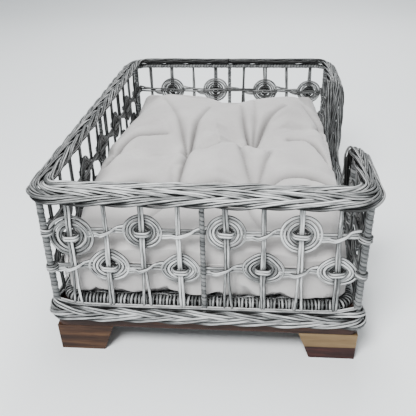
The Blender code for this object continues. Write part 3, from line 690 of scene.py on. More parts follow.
def stake_rods(side, place, slant, knot_z, top, rng):
    """The two rods of a stake: over the knot's rings, in under its cross bar, then on to the base.

    A stake of the upper row opens towards its foot. A stake of the lower row is one rod before
    the other at its head.
    """
    upper = knot_z == UPPER_KNOT_Z
    open_foot = rng.uniform(0.0, 0.0055) if upper else rng.uniform(-0.0008, 0.0008)
    close_head = rng.uniform(-0.0004, 0.0010) if upper else -ROD * rng.uniform(0.25, 0.42)
    z = np.linspace(WALL_BASE - 0.010, top, 44)
    foot = np.clip((LOWER_KNOT_Z - 0.004 - z) / 0.07, 0, 1) ** 1.2
    head = np.clip((z - knot_z - 0.025) / 0.05, 0, 1)
    tight = rng.uniform(0.48, 0.56)
    rods = []
    for hand in (-1, 1):
        spread = ROD * tight + open_foot * foot + close_head * head
        s = stake_s(place, slant, z) + hand * spread
        s = s + 0.0007 * np.sin(z * rng.uniform(30, 60) + rng.uniform(0, 6))
        dip = np.exp(-((z - knot_z) / 0.007) ** 2)
        q = 0.0009 * dip - 0.0009 * np.exp(-((np.abs(z - knot_z) - 0.020) / 0.010) ** 2)
        q = q + hand * (rng.uniform(-0.0006, 0.0006) + (0.0 if upper else 0.0016) * head)
        # painted shade: darker at the foot, under the rim and under the knot's cross bar
        shade = 1.0 - 0.65 * np.clip((WALL_BASE + 0.012 - z) / 0.02, 0, 1) \
            - 0.85 * np.clip((z - top + 0.016) / 0.012, 0, 1) - 0.45 * dip
        path = on_wall(side, s, q, z)
        rods.append(rod(path, WALLS[side][0], ROD / 2 * rng.uniform(1.02, 1.14), rng.uniform(), shade))
    return rods


def make_stakes(runs, mats):
    """Stakes of every stretch and of the sill."""
    rng = np.random.default_rng(21)
    for label, side, _start, _end, places, slants in runs:
        rods = []
        for index, (place, slant) in enumerate(zip(places, slants)):
            knot_z = UPPER_KNOT_Z if index % 2 == 0 else LOWER_KNOT_Z
            rods += stake_rods(side, place, slant, knot_z, WALL_TOP + 0.003, rng)
        wall_piece(f"stakes_{label}_rods", rods, mats, f"stakes_{label}")
    low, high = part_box("stakes_sill")
    rods = []
    for place in spaced(low[1] + STAKE_WIDTH / 2, high[1] - STAKE_WIDTH / 2):
        rods += stake_rods("right", place, 0.0, WALL_BASE - 0.02, high[2] + 0.002, rng)
    wall_piece("stakes_sill_rods", rods, mats, "stakes_sill")


def wall_piece(name, rods, mats, node):
    """Piece of rods that stands for a node of the walls; every wall but the front is darkened with
    painted shade.
    """
    if "front" not in node or "right" in node:
        for item in rods:
            item["shade"] = item["shade"] * SIDE_PAINTED_SHADE
    belongs(rods_piece(name, rods, mats["rattan"]), "basket", "rattan", node)


RING_RADII = (0.0140, 0.0189, 0.0239, 0.0290)
WEAVE_Q = 0.0048                # middle of the knots' rings, inside the stakes
FRONT_Q = -0.0048               # middle of what passes in front of the stakes


def knot_shape(angle, radius, upper):
    """Ring of a knot: a circle above; below, a flatter onion that rises to a blunt point."""
    c, s = np.cos(angle), np.sin(angle)
    if upper:
        return radius * c, radius * s
    peak = 0.17 * np.clip(s, 0, 1) ** 6
    return radius * 1.08 * c, radius * (0.84 * s + peak)


def knot_rods(side, centre, z, upper, size, rng):
    """Four rings, the ends tucked behind them, and a cross bar of two rods over the stake."""
    rods = []
    turn = np.linspace(0, 2 * np.pi, 48, endpoint=False)
    squash = rng.uniform(0.94, 1.03)
    swell = size * (rng.uniform(1.00, 1.09) if upper else rng.uniform(0.97, 1.05))
    slant = math.radians(rng.uniform(-12, 12))
    ring_tone = rng.uniform(0.2, 0.8)
    for k, radius in enumerate(RING_RADII):
        s, h = knot_shape(turn, radius * swell, upper)
        h = h * squash
        s, h = s * math.cos(slant) - h * math.sin(slant), s * math.sin(slant) + h * math.cos(slant)
        drift = 0.0006 * np.sin(2 * turn + rng.uniform(0, 6)) + 0.0004 * np.sin(3 * turn + k)
        q = WEAVE_Q + 0.0009 * np.sin(turn * 2 + k * 1.7) + 0.0004 * (3 - k)
        # painted shade where a ring passes behind the stake, and more on the innermost ring
        behind = np.exp(-(s / 0.0065) ** 2)
        shade = 1.0 - 0.60 * behind - (0.25 if k == 0 else 0.0)
        path = on_wall(side, centre + s + drift, q, z + h)
        tone = np.clip(ring_tone + rng.uniform(-0.3, 0.3), 0, 1)
        rods.append(rod(path, WALLS[side][0], 0.00238 * size * rng.uniform(0.95, 1.04), tone, shade,
                        closed=True))
    # the ends tucked behind the rings lie in deep painted shade
    for bearing in (0.9, 2.2, 4.0, 5.3):
        a = bearing + rng.uniform(-0.25, 0.25) + np.linspace(-0.80, 0.80, 15)
        radius = 0.0092 + rng.uniform(-0.0006, 0.0006)
        path = on_wall(side, centre + radius * np.cos(a), WEAVE_Q + 0.0010, z + radius * np.sin(a))
        rods.append(rod(path, WALLS[side][0], 0.0022, rng.uniform(0, 0.3), 0.25))
    # the runner's straight pair passes over the knot on its inner side, in a little painted shade
    reach = np.linspace(-RING_RADII[-1] * 1.1, RING_RADII[-1] * 1.1, 25)
    for hand in (-1, 1):
        h = hand * 0.0025 + 0.0008 * np.sin(reach * 90 + rng.uniform(0, 6)) - 0.0006
        inner = WEAVE_Q + 0.0047 * np.clip((1 - np.abs(reach) / RING_RADII[-1] + 0.25) / 0.25, 0, 1)
        path = on_wall(side, centre + reach, inner, z + h)
        rods.append(rod(path, WALLS[side][0], 0.0022, rng.uniform(0.1, 0.6), 0.85))
    half = 0.0125 * rng.uniform(0.95, 1.08)
    sag = rng.uniform(-0.0008, 0.0014)
    tip = math.radians(rng.uniform(-6, 6))
    for hand in (-1, 1):
        x = np.linspace(-half, half, 21)
        arc = np.clip(1 - (np.abs(x) / half) ** 6, 0, 1)
        q = WEAVE_Q + 0.001 + (FRONT_Q - WEAVE_Q - 0.001) * arc
        h = hand * 0.0024 - sag * (1 - (x / half) ** 2) + x * math.tan(tip)
        path = on_wall(side, centre + x, q, z + h)
        # painted shade: the cross bar darkens where it dives in behind the stake
        rods.append(rod(path, UP, KNOT_ROD, rng.uniform(0.5, 1.0), 0.35 + 0.65 * arc, roll=0.25))
    return rods


def runner_rods(side, start, end, z, rng):
    """Straight rods behind the stakes and a pair that crosses in front, rising to the next knot."""
    rods = []
    s = np.linspace(start, end, 26)
    t = (s - start) / (end - start)
    outward = WALLS[side][0]
    for offset in (0.0036, -0.0012):
        droop = rng.uniform(-0.0012, 0.0012) * np.sin(np.pi * t)
        q = WEAVE_Q + 0.0004 * np.sin(2 * np.pi * t + rng.uniform(0, 6))
        path = on_wall(side, s, q, z + offset + droop + rng.uniform(-0.0005, 0.0005))
        # painted shade on the rods behind the stakes
        rods.append(rod(path, outward, KNOT_ROD, rng.uniform(), 0.8))
    for k in range(2):
        gap = 0.0047 * k
        rise = -0.0100 + (0.021 - 0.004 * k) * (3 * t ** 2 - 2 * t ** 3) ** 1.3 + gap * (1 - 0.35 * t)
        front = np.exp(-((t - 0.5) / 0.20) ** 4)
        q = WEAVE_Q + (FRONT_Q - WEAVE_Q) * front
        path = on_wall(side, s, q, z + rise)
        rods.append(rod(path, outward, KNOT_ROD, rng.uniform(0.4, 1.0), 1.0))
    return rods


def post_turns(side, post_s, z, rng):
    """Three rods of a runner turned round a corner post, slanting."""
    rods = []
    turn = np.linspace(0, 2 * np.pi, 20, endpoint=False)
    for k in (-1, 0, 1):
        radius = 0.0078 * rng.uniform(0.97, 1.05)
        tilt = rng.uniform(-0.35, 0.10)
        s = post_s + radius * np.cos(turn)
        q = radius * np.sin(turn)
        path = on_wall(side, s, q, z + k * 0.0043 + tilt * radius * np.cos(turn))
        away = path - path.mean(0)
        # painted shade on the turns round the post
        rods.append(rod(path, away, 0.0021, rng.uniform(0, 0.6), 0.85, closed=True))
    return rods


def make_knot_rows(runs, mats):
    """Upper and lower row of each stretch: knots, the runners between them and turns round posts."""
    rng = np.random.default_rng(31)
    for label, side, start, end, places, slants in runs:
        for row, z, offset in (("upper", UPPER_KNOT_Z, 0), ("lower", LOWER_KNOT_Z, 1)):
            rods = []
            z_row = z + rng.uniform(-0.002, 0.002)
            centres = [stake_s(p, k, z) for p, k in zip(places[offset::2], slants[offset::2])]
            for centre in centres:
                first = row == "upper" and label == "front" and centre == centres[0]
                size = FIRST_KNOT if first else 1.0
                rods += knot_rods(side, centre, z_row + rng.uniform(-0.003, 0.003) - 0.05 * (size - 1),
                                  row == "upper", size, rng)
            edge = RING_RADII[-1] - 0.002
            stops = [start - 0.001, *centres, end + 0.001]
            for left, right in zip(stops, stops[1:]):
                a = left + (edge if left in centres else 0.0)
                b = right - (edge if right in centres else 0.0)
                if b - a > 0.012:
                    rods += runner_rods(side, a, b, z_row, rng)
            # the runners of the left wall end behind the posts
            half = half_post(side)
            for post_s, stop in ((-half, start), (half, end)):
                if side != "left" and abs(abs(stop) - half) < 0.02:
                    rods += post_turns(side, post_s, z_row, rng)
            wall_piece(f"{row}_knots_{label}_weave", rods, mats, f"{row}_knots_{label}")


# ---------------------------------------------------------------- wound posts and floor edge
def post_axis(node, lean_x, lean_y):
    """Centre line of a leaning post from its box; lean signs say which way its head is out."""
    low, high = (np.array(corner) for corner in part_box(node))
    height = high[2] - low[2]
    shift = lean(WALL_BASE + height)
    size = high - low
    radius = (min(size[0] - abs(lean_x) * shift, size[1] - abs(lean_y) * shift)) / 2
    radius = radius / math.cos(math.pi / 12)
    base = (low + high) / 2 - np.array((lean_x, lean_y, 0)) * shift / 2
    top = base + np.array((lean_x, lean_y, 0)) * shift
    base[2], top[2] = low[2], high[2]
    return base, top, radius


def make_posts(mats):
    """Corner, middle and door posts, wound with core."""
    posts = [("corner_post_front_left", -1, -1), ("corner_post_front_right", 1, -1),
             ("corner_post_back_left", -1, 1), ("corner_post_back_right", 1, 1),
             ("mid_post_front", 0, -1), ("mid_post_back", 0, 1), ("mid_post_left", -1, 0),
             ("door_post_front", 1, 0), ("door_post_back", 1, 0)]
    for number, (node, lean_x, lean_y) in enumerate(posts):
        base, top, radius = post_axis(node, lean_x, lean_y)
        top = top + (0, 0, 0.004)
        pts = np.linspace(base, top, int(np.linalg.norm(top - base) / 0.0008))
        out = np.tile((1.0, 0.2, 0.0), (len(pts), 1))
        belongs(wound_rod(node + "_winding", pts, out, radius, 0.0009, 16, mats["wound"], number),
                "basket", "wrapped_rattan", node)


EDGE_REACH = 0.0092             # half width and half height of a stroke round the floor's edge
EDGE_RISE = 0.0072
EDGE_ROD = 0.0022


def floor_edge_centre():
    """Distances of the floor's wound edge from the middle along X and Y, and its height."""
    low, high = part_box("floor_pole_left")
    front_low, front_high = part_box("floor_pole_front")
    shift = 0.0052              # the strokes stand further out than the pole, up to the stakes
    return (shift - (low[0] + high[0]) / 2, shift - (front_low[1] + front_high[1]) / 2,
            (low[2] + high[2]) / 2)


def make_floor_edge(mats):
    """Pole round the edge of the floor, wound with separate strokes of core.

    Strokes are ellipses round the pole, one every 6 mm along a rounded rectangle; at the
    corners they fan out.
    """
    rng = np.random.default_rng(41)
    mid_x, mid_y, mid_z = floor_edge_centre()
    _run, pts, out = level_ring(mid_x, mid_y, 0.030, mid_z, 0.0060)
    rods = []
    turn = np.linspace(0, 2 * np.pi, 14, endpoint=False)
    for centre, away in zip(pts[:-1], out[:-1]):
        along = np.cross(UP, away)
        wide = EDGE_REACH * rng.uniform(0.96, 1.04)
        tall = EDGE_RISE * rng.uniform(0.94, 1.05)
        skew = rng.uniform(-0.0012, 0.0012)
        path = (centre + away * (wide * np.cos(turn))[:, None] + UP * (tall * np.sin(turn))[:, None]
                + along * (skew * np.cos(turn))[:, None])
        # painted shade on the inner side of each stroke
        shade = 0.30 + 0.48 * np.clip(np.cos(turn) * 0.8 + 0.45, 0, 1)
        rods.append(rod(path, path - centre, EDGE_ROD * rng.uniform(0.92, 1.05), rng.uniform(), shade,
                        closed=True))
    # the core pole under the strokes is painted black as shade
    core = rod(pts[:-1], UP, 0.0050, 0.0, 0.0, closed=True)
    belongs(rods_piece("floor_edge_winding", rods + [core], mats["rattan"], sides=6),
            "basket", "wrapped_rattan",
            "floor_pole_left", "floor_pole_right", "floor_pole_front", "floor_pole_back")


def make_floor_panel(mats):
    """Woven floor: thick floor rods along Y, thin core woven over and under them along X."""
    low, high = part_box("floor_panel")
    rng = np.random.default_rng(43)
    mid = (low[2] + high[2]) / 2
    rods = []
    warp_x = np.linspace(low[0] + 0.012, high[0] - 0.012, 17)
    gap = warp_x[1] - warp_x[0]
    for x in warp_x:
        y = np.linspace(low[1], high[1], 24)
        path = np.stack((x + 0.0006 * np.sin(y * 20 + x * 90), y, np.full_like(y, mid)), -1)
        # painted shade on the floor rods under the weft
        rods.append(rod(path, UP, 0.0020, rng.uniform(), 0.5))
    weft_y = np.arange(low[1] + 0.0030, high[1] - 0.002, 0.0044)
    for index, y in enumerate(weft_y):
        x = np.linspace(low[0], high[0], 103)
        wave = np.cos(np.pi * (x - warp_x[0]) / gap + np.pi * (index % 2))
        z = mid + 0.0022 * wave
        path = np.stack((x, np.full_like(x, y), z), -1)
        # painted shade on the weft midway between the floor rods
        rods.append(rod(path, UP, 0.00175, rng.uniform(), 0.55 + 0.35 * np.abs(wave)))
    belongs(rods_piece("floor_panel_weave", rods, mats["rattan"], sides=5), "basket", "rattan",
            "floor_panel")


# ---------------------------------------------------------------- timber base
def timber_piece(node, bevel, mat, slot):
    """Copy of a timber node with its doubles merged and its edges eased."""
    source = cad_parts[node]
    mesh = source.data.copy()
    bm = bmesh.new()
    bm.from_mesh(mesh)
    bmesh.ops.remove_doubles(bm, verts=bm.verts, dist=1e-5)
    bmesh.ops.dissolve_limit(bm, angle_limit=math.radians(1), verts=bm.verts, edges=bm.edges)
    bm.to_mesh(mesh)
    bm.free()
    mesh.materials.clear()
    mesh.materials.append(mat)
    piece = bpy.data.objects.new(node + "_timber", mesh)
    bpy.context.scene.collection.objects.link(piece)
    ease = piece.modifiers.new("eased_edges", "BEVEL")
    ease.width = bevel
    ease.segments = 2
    ease.limit_method = "ANGLE"
    ease.angle_limit = math.radians(25)
    mesh.shade_smooth()
    mesh.set_sharp_from_angle(angle=math.radians(30))
    belongs(piece, "basket", slot, node)


def make_timber(mats):
    """Rails, cross rail and feet."""
    for node in ("front_rail", "back_rail", "cross_rail"):
        timber_piece(node, 0.0008, mats["rail_x"], "rail_timber")
    for node in ("left_rail", "right_rail"):
        timber_piece(node, 0.0008, mats["rail_y"], "rail_timber")
    for node in ("foot_front_left", "foot_back_left", "foot_back_right"):
        timber_piece(node, 0.0010, mats["foot"], "foot_timber")
    timber_piece("foot_front_right", 0.0010, mats["foot_light"], "foot_timber_light")


# ---------------------------------------------------------------- cushion
# tufts that draw the crown down: place and depth
TUFTS = ((-0.068, -0.010, 0.034), (-0.070, -0.180, 0.030), (0.068, 0.022, 0.032),
         (0.079, -0.180, 0.028), (0.012, 0.280, 0.018))
# creases over the crown: three places along each, then its depth and width
CREASES = (
    ((-0.068, -0.012), (-0.106, 0.120), (-0.158, 0.262), 0.010, 0.012),
    ((-0.066, -0.010), (-0.056, 0.075), (-0.035, 0.165), 0.013, 0.010),
    ((-0.068, -0.012), (-0.060, -0.090), (-0.070, -0.182), 0.020, 0.012),
    ((0.066, 0.022), (0.050, 0.090), (0.040, 0.180), 0.012, 0.009),
    ((0.070, 0.022), (0.074, 0.110), (0.070, 0.225), 0.007, 0.010),
    ((0.072, 0.022), (0.100, 0.105), (0.145, 0.196), 0.012, 0.010),
    ((0.062, 0.020), (0.046, -0.070), (0.076, -0.182), 0.013, 0.010),
    ((0.076, 0.015), (0.106, -0.075), (0.083, -0.182), 0.013, 0.010),
    ((-0.228, -0.110), (-0.190, 0.010), (-0.120, 0.050), 0.014, 0.014),
    ((-0.228, -0.205), (-0.150, -0.185), (-0.072, -0.182), 0.011, 0.012),
    ((0.236, -0.090), (0.195, -0.015), (0.145, 0.030), 0.016, 0.016),
    ((0.234, -0.182), (0.165, -0.168), (0.084, -0.184), 0.012, 0.011),
    ((0.236, -0.020), (0.222, 0.110), (0.190, 0.235), 0.012, 0.014),
    ((0.010, 0.282), (-0.060, 0.250), (-0.130, 0.275), 0.008, 0.012),
    ((0.014, 0.282), (0.080, 0.262), (0.150, 0.290), 0.007, 0.012),
    ((-0.070, -0.184), (-0.085, -0.260), (-0.110, -0.340), 0.010, 0.012),
    ((0.078, -0.186), (0.070, -0.265), (0.090, -0.345), 0.010, 0.012),
    ((-0.070, -0.012), (0.000, 0.004), (0.066, 0.022), 0.006, 0.018),
    ((-0.070, -0.182), (0.000, -0.196), (0.078, -0.184), 0.008, 0.016),
)
SIDE_FOLDS = 9                  # soft upright folds along each side
STUFFING_FRAMES = 20            # frames of cloth simulation, its pressure and how far it may move
STUFFING_PRESSURE = 4.0
STUFFING_REACH = 0.022


def cushion_cage():
    """Start of the cushion before it is blown up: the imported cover's outer outline, as a grid.

    Rings of a rounded rectangle from the underside to the crown, each drawn in by its own
    amount; between the corners the sides are drawn in a little more.
    """
    low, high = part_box("cushion_cover")
    half_x, half_y = high[0] - 0.003, high[1] - 0.003
    crown = high[2] - 0.008
    levels = [(0.022, low[2]), (0.007, low[2] + 0.008), (0.001, low[2] + 0.028), (0.0, CUSHION_SEAM),
              (0.000, CUSHION_SEAM + 0.034), (0.003, crown - 0.014), (0.011, crown - 0.004),
              (0.030, crown), (0.090, crown), (0.160, crown)]
    rings = []
    for inset, z in levels:
        hx, hy = half_x - inset, half_y - inset
        plan, outward = rounded_plan(hx, hy, max(0.020 - inset * 0.2, 0.006), 9)
        _, ring, away = even_path(plan, outward, 2 * (half_x + half_y) / 120)
        share = np.minimum(1 - (ring[:, 0] / hx) ** 2, 1.0) * (np.abs(away[:, 1]) > 0.7)
        share = share + np.minimum(1 - (ring[:, 1] / hy) ** 2, 1.0) * (np.abs(away[:, 0]) > 0.7)
        ring = ring - away * (0.004 * share)[:, None]
        index = np.linspace(0, len(ring) - 1, 161)[:-1].astype(int)
        rings.append(np.hstack((ring[index], np.full((160, 1), z))))
    rings = np.array(rings)
    return (rings.reshape(-1, 3), *tube_faces(*rings.shape[:2]))


def outness(co, half_x, half_y):
    """How far out each point is in plan: 0 in the middle, 1 at the half width or half length."""
    return np.maximum(np.abs(co[:, 0]) / half_x, np.abs(co[:, 1]) / half_y)


def sink_tufts(co, spread):
    """How far the crown drops at each point: a rounded cone about each tuft."""
    drop = np.zeros(len(co))
    for x, y, depth in TUFTS:
        away = np.hypot(co[:, 0] - x, co[:, 1] - y)
        drop = np.maximum(drop, depth * np.exp(-(away / spread) ** 1.2))
    return drop


def crease_depth(co):
    """How far creases press the cloth in, and how much painted shade lies along its folds.

    Each crease is a curve over the crown, a narrow groove with a low swell on both sides; its
    depth fades from its first end to its last.
    """
    depth, dark = np.zeros(len(co)), np.zeros(len(co))
    for first, middle, last, deep, wide in CREASES:
        line = smooth_path((first, middle, last), 41)
        gap = np.full(len(co), 1.0)
        share = np.zeros(len(co))
        for k, point in enumerate(line):
            away = np.hypot(co[:, 0] - point[0], co[:, 1] - point[1])
            nearer = away < gap
            gap = np.where(nearer, away, gap)
            share = np.where(nearer, k / 40, share)
        fade = 1.0 - 0.75 * share
        groove = np.exp(-(gap / (wide * 0.48)) ** 1.2)
        swell = np.exp(-((gap - wide * 1.5) / wide) ** 2)
        depth += 1.45 * deep * fade * (groove - 0.24 * swell)
        # painted shade along each crease, fading from its first end
        dark = np.maximum(dark, deep / 0.009 * (1 - 0.6 * share) * np.exp(-(gap / 0.0042) ** 1.3))
    return depth, np.clip(dark, 0, 1)


def apply_all(obj):
    """Applies an object's modifiers to a new mesh."""
    graph = bpy.context.evaluated_depsgraph_get()
    mesh = bpy.data.meshes.new_from_object(obj.evaluated_get(graph))
    obj.modifiers.clear()
    obj.data = mesh


def coords(obj):
    """Vertex positions as an array."""
    flat = np.empty(len(obj.data.vertices) * 3, np.float32)
    obj.data.vertices.foreach_get("co", flat)
    return flat.reshape(-1, 3).astype(float)


def set_coords(obj, co):
    """Writes vertex positions."""
    obj.data.vertices.foreach_set("co", np.asarray(co, np.float32).ravel())
    obj.data.update()


def blow_up(obj, pinned):
    """Cloth under pressure with some points held; no point moves further than the reach."""
    before = coords(obj)
    group = obj.vertex_groups.new(name="held")
    group.add([int(k) for k in np.nonzero(pinned)[0]], 1.0, "REPLACE")
    cloth = obj.modifiers.new("cloth", "CLOTH")
    setup = cloth.settings
    setup.quality = 5
    setup.mass = 0.3
    setup.tension_stiffness = 15
    setup.compression_stiffness = 15
    setup.shear_stiffness = 5
    setup.bending_stiffness = 0.15
    setup.use_pressure = True
    setup.uniform_pressure_force = STUFFING_PRESSURE
    setup.shrink_min = -0.07
    setup.vertex_group_mass = "held"
    setup.effector_weights.gravity = 0
    cloth.collision_settings.use_self_collision = False
    cloth.point_cache.frame_start = 1
    cloth.point_cache.frame_end = STUFFING_FRAMES
    scene = bpy.context.scene
    for number in range(1, STUFFING_FRAMES + 1):
        scene.frame_set(number)
    apply_all(obj)
    scene.frame_set(1)
    move = coords(obj) - before
    far = np.linalg.norm(move, axis=1, keepdims=True)
    set_coords(obj, before + move * np.minimum(1.0, STUFFING_REACH / np.maximum(far, 1e-9)))


def fill_corners(co, half_x, half_y, floor):
    """Pushes the flanks out at the corners, towards a rounded rectangle in plan.

    Near a corner's centre, the distance from it grows towards the corner's radius; the push fades
    out on the underside, over the crown and along the straight sides.
    """
    radius = 0.020
    size = np.abs(co[:, :2]) - (half_x - radius, half_y - radius)
    size = np.maximum(size, 0.0)
    rho = np.maximum(np.linalg.norm(size, axis=1), 1e-6)
    band = (np.clip((co[:, 2] - floor - 0.001) / 0.014, 0, 1)
            * np.clip((0.218 - co[:, 2]) / 0.035, 0, 1))
    skin = np.clip((rho / radius - 0.20) / 0.30, 0, 1)
    near = np.clip(size.min(axis=1) / (0.25 * radius), 0, 1)
    grow = 1 + np.maximum(radius / rho - 1, 0) * 0.9 * band * skin * near
    moved = co.copy()
    moved[:, :2] += np.sign(co[:, :2]) * size * (grow - 1)[:, None]
    return moved


def make_cushion(mats):
    """Stuffed cotton cushion: blown up and tufted, then creased, and kept off the floor and walls."""
    low, high = (np.array(corner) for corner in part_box("cushion_cover"))
    verts, loops, sizes = cushion_cage()
    piece = new_piece("cushion_cloth", verts, loops, sizes, None, {}, mats["cotton"])
    remesh = piece.modifiers.new("remesh", "REMESH")
    remesh.mode = "VOXEL"
    remesh.voxel_size = 0.005
    apply_all(piece)
    co = coords(piece)
    crown = np.clip((co[:, 2] - CUSHION_SEAM - 0.02) / 0.04, 0, 1)
    co[:, 2] -= crown * sink_tufts(co, 0.042)
    set_coords(piece, co)
    near = np.zeros(len(co), bool)
    for x, y, _depth in TUFTS:
        near |= (np.hypot(co[:, 0] - x, co[:, 1] - y) < 0.007) & (co[:, 2] > CUSHION_SEAM)
    blow_up(piece, near | (co[:, 2] < low[2] + 0.003))
    smooth = piece.modifiers.new("fine", "SUBSURF")
    smooth.levels = smooth.render_levels = 1
    apply_all(piece)
    piece.data.materials.clear()
    piece.data.materials.append(mats["cotton"])
    piece.data.shade_smooth()
    co = coords(piece)
    crown = np.clip((co[:, 2] - CUSHION_SEAM - 0.012) / 0.03, 0, 1)
    # creases run out before they reach the upright sides
    inner = np.clip((1 - outness(co, *high[:2])) / 0.06, 0, 1)
    press, dark = crease_depth(co)
    press, dark = press * (0.2 + 0.8 * inner), dark * inner
    corner = np.prod(np.clip(np.abs(co[:, :2]) / high[:2], 0, 1) ** 3, axis=1)
    co[:, 2] -= crown * (press + 0.45 * sink_tufts(co, 0.055) - 0.012 * corner)
    # painted shade in the creases, for the cotton material
    shade = piece.data.attributes.new("shade", "FLOAT", "POINT")
    shade.data.foreach_set("value", (1 - crown * dark).astype(np.float32))
    co = fill_corners(co, high[0] + 0.003, high[1] + 0.003, low[2])
    # upright folds in the sides and a waved lower edge
    round_ = np.arctan2(co[:, 1] / high[1], co[:, 0] / high[0])
    side = (np.clip(1 - np.abs(co[:, 2] - CUSHION_SEAM) / 0.075, 0, 1)
            * np.clip((outness(co, *high[:2]) - 0.9) / 0.06, 0, 1))
    fold = np.sin(round_ * SIDE_FOLDS * 4 + 1.7 * np.sin(3 * round_)) * np.sin(round_ * 7 + 1.0)
    away = np.stack((co[:, 0], co[:, 1] * 0.6), -1)
    away /= np.maximum(np.linalg.norm(away, axis=1, keepdims=True), 1e-6)
    co[:, :2] -= away * (0.0016 * side * (1 + fold))[:, None]
    lower = (np.clip((CUSHION_SEAM - 0.025 - co[:, 2]) / 0.03, 0, 1)
             * np.clip((outness(co, *high[:2]) - 0.86) / 0.08, 0, 1))
    co[:, 2] += lower * (0.0025 + 0.0032 * np.sin(round_ * 23 + 2 * np.sin(5 * round_)))
    # it lies on the floor and on the wound edge, and stays behind the sill of the doorway
    edge_x, edge_y, edge_z = floor_edge_centre()
    inside = np.maximum(np.abs(co[:, 0]) - edge_x, np.abs(co[:, 1]) - edge_y) + EDGE_REACH + EDGE_ROD
    rest = edge_z + 1.05 * (EDGE_RISE + EDGE_ROD) + 0.0006 - low[2]
    co[:, 2] = np.maximum(co[:, 2], low[2] + rest * np.clip(1 + inside / 0.008, 0, 1))
    co[:, 0] = np.clip(co[:, 0], -high[0] - 0.004, high[0] + 0.0005)
    co[:, 1] = np.clip(co[:, 1], -high[1] - 0.004, high[1] + 0.004)
    set_coords(piece, co)
    belongs(piece, "cushion", "cotton_cover", "cushion_cover", "cushion_filling")
    return piece


def surface_hits(tree, origins, directions):
    """Where rays meet the cushion, with the surface's normals."""
    points, normals = [], []
    for origin, direction in zip(origins, directions):
        hit, normal, _index, _distance = tree.ray_cast(Vector(origin), Vector(direction))
        points.append(hit if hit is not None else origin)
        normals.append(normal if normal is not None else -Vector(direction))
    return np.array(points), np.array(normals)


def make_cushion_trim(cushion, mats):
    """Seam round the cushion's side and the zip in its back."""
    tree = BVHTree.FromObject(cushion, bpy.context.evaluated_depsgraph_get())
    _low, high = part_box("cushion_cover")
    _run, pts, out = level_ring(high[0] + 0.03, high[1] + 0.03, 0.06, CUSHION_SEAM, 0.006, 25)
    hits, normals = surface_hits(tree, pts[:-1], -out[:-1])
    for _ in range(3):
        hits = (np.roll(hits, 1, 0) + 2 * hits + np.roll(hits, -1, 0)) / 4
    seam = rod(hits - normals * 0.0004, UP, 0.0016, 0.6, 1.0, closed=True)
    belongs(rods_piece("cushion_seam", [seam], mats["cotton"]), "cushion", "cotton_cover")

    x = np.linspace(-ZIP_HALF, ZIP_HALF, 101)
    start = np.stack((x, np.full_like(x, high[1] + 0.05), np.full_like(x, CUSHION_SEAM)), -1)
    hits, _normals = surface_hits(tree, start, np.tile((0.0, -1.0, 0.0), (len(x), 1)))
    # section of the zip: heights and how far out, with its back sunk in the cloth
    section = ((-0.0065, 0.0), (-0.0045, 0.0009), (-0.0012, 0.0010), (0.0, 0.0018), (0.0012, 0.0010),
               (0.0045, 0.0009), (0.0065, 0.0), (0.0, -0.003))
    rings = np.stack([np.stack((x, hits[:, 1] + out, hits[:, 2] + rise), -1)
                      for rise, out in section], 1)
    piece = new_piece("zip_coil", rings.reshape(-1, 3), *tube_faces(*rings.shape[:2]), None, {},
                      mats["zip"])
    belongs(piece, "cushion", "zip_tape", "zip")
    return tree


def make_label(tree, mats):
    """Plain woven label sewn in the side seam: a strip that curls away from the cushion."""
    low, high = (np.array(corner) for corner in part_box("side_label"))
    middle = (low + high) / 2
    away = np.array((-math.sqrt(0.5), -math.sqrt(0.5), 0.0))
    across = np.array((math.sqrt(0.5), -math.sqrt(0.5), 0.0))
    z = np.linspace(high[2] - 0.001, low[2] + 0.001, 15)
    origins = [middle * (1, 1, 0) + away * 0.05 + UP * h for h in z]
    hits, _normals = surface_hits(tree, origins, [-away] * len(origins))
    base = hits[0]
    t = np.linspace(0, 1, 15)
    stand = 0.0010 + 0.0045 * t ** 1.4
    clear = np.maximum.accumulate((hits - base) @ away) + stand
    front = np.array([base + away * c + UP * (h - z[0]) + across * (0.0030 * k - 0.0065)
                      for c, h, k in zip(clear, z, t)])
    half, thick = across * 0.0058, away * 0.0005
    rings = np.stack((front - half + thick, front + half + thick, front + half, front - half), 1)
    piece = new_piece("side_label_tape", rings.reshape(-1, 3), *tube_faces(*rings.shape[:2]), None, {},
                      mats["label"])
    belongs(piece, "cushion", "label_tape", "side_label")


# ---------------------------------------------------------------- studio
def make_camera():
    """Camera in front of the short wall, looking down at the basket."""
    data = bpy.data.cameras.new("camera")
    data.sensor_width = 36
    data.lens = 53.8
    camera = bpy.data.objects.new("camera", data)
    place = (0.0888, -1.2478, 0.7106)
    yaw, pitch, roll = -0.0933, 0.4695, -0.0218     # to the right, down and clockwise, in radians
    forward = Vector((math.sin(yaw) * math.cos(pitch), math.cos(yaw) * math.cos(pitch),
                      -math.sin(pitch)))
    right = Vector((math.cos(yaw), -math.sin(yaw), 0))
    up = right.cross(forward)
    side = right * math.cos(roll) + up * math.sin(roll)
    top = up * math.cos(roll) - right * math.sin(roll)
    turn = Matrix((side, top, -forward)).transposed()
    camera.matrix_world = Matrix.Translation(place) @ turn.to_4x4()
    bpy.context.scene.collection.objects.link(camera)
    bpy.context.scene.camera = camera


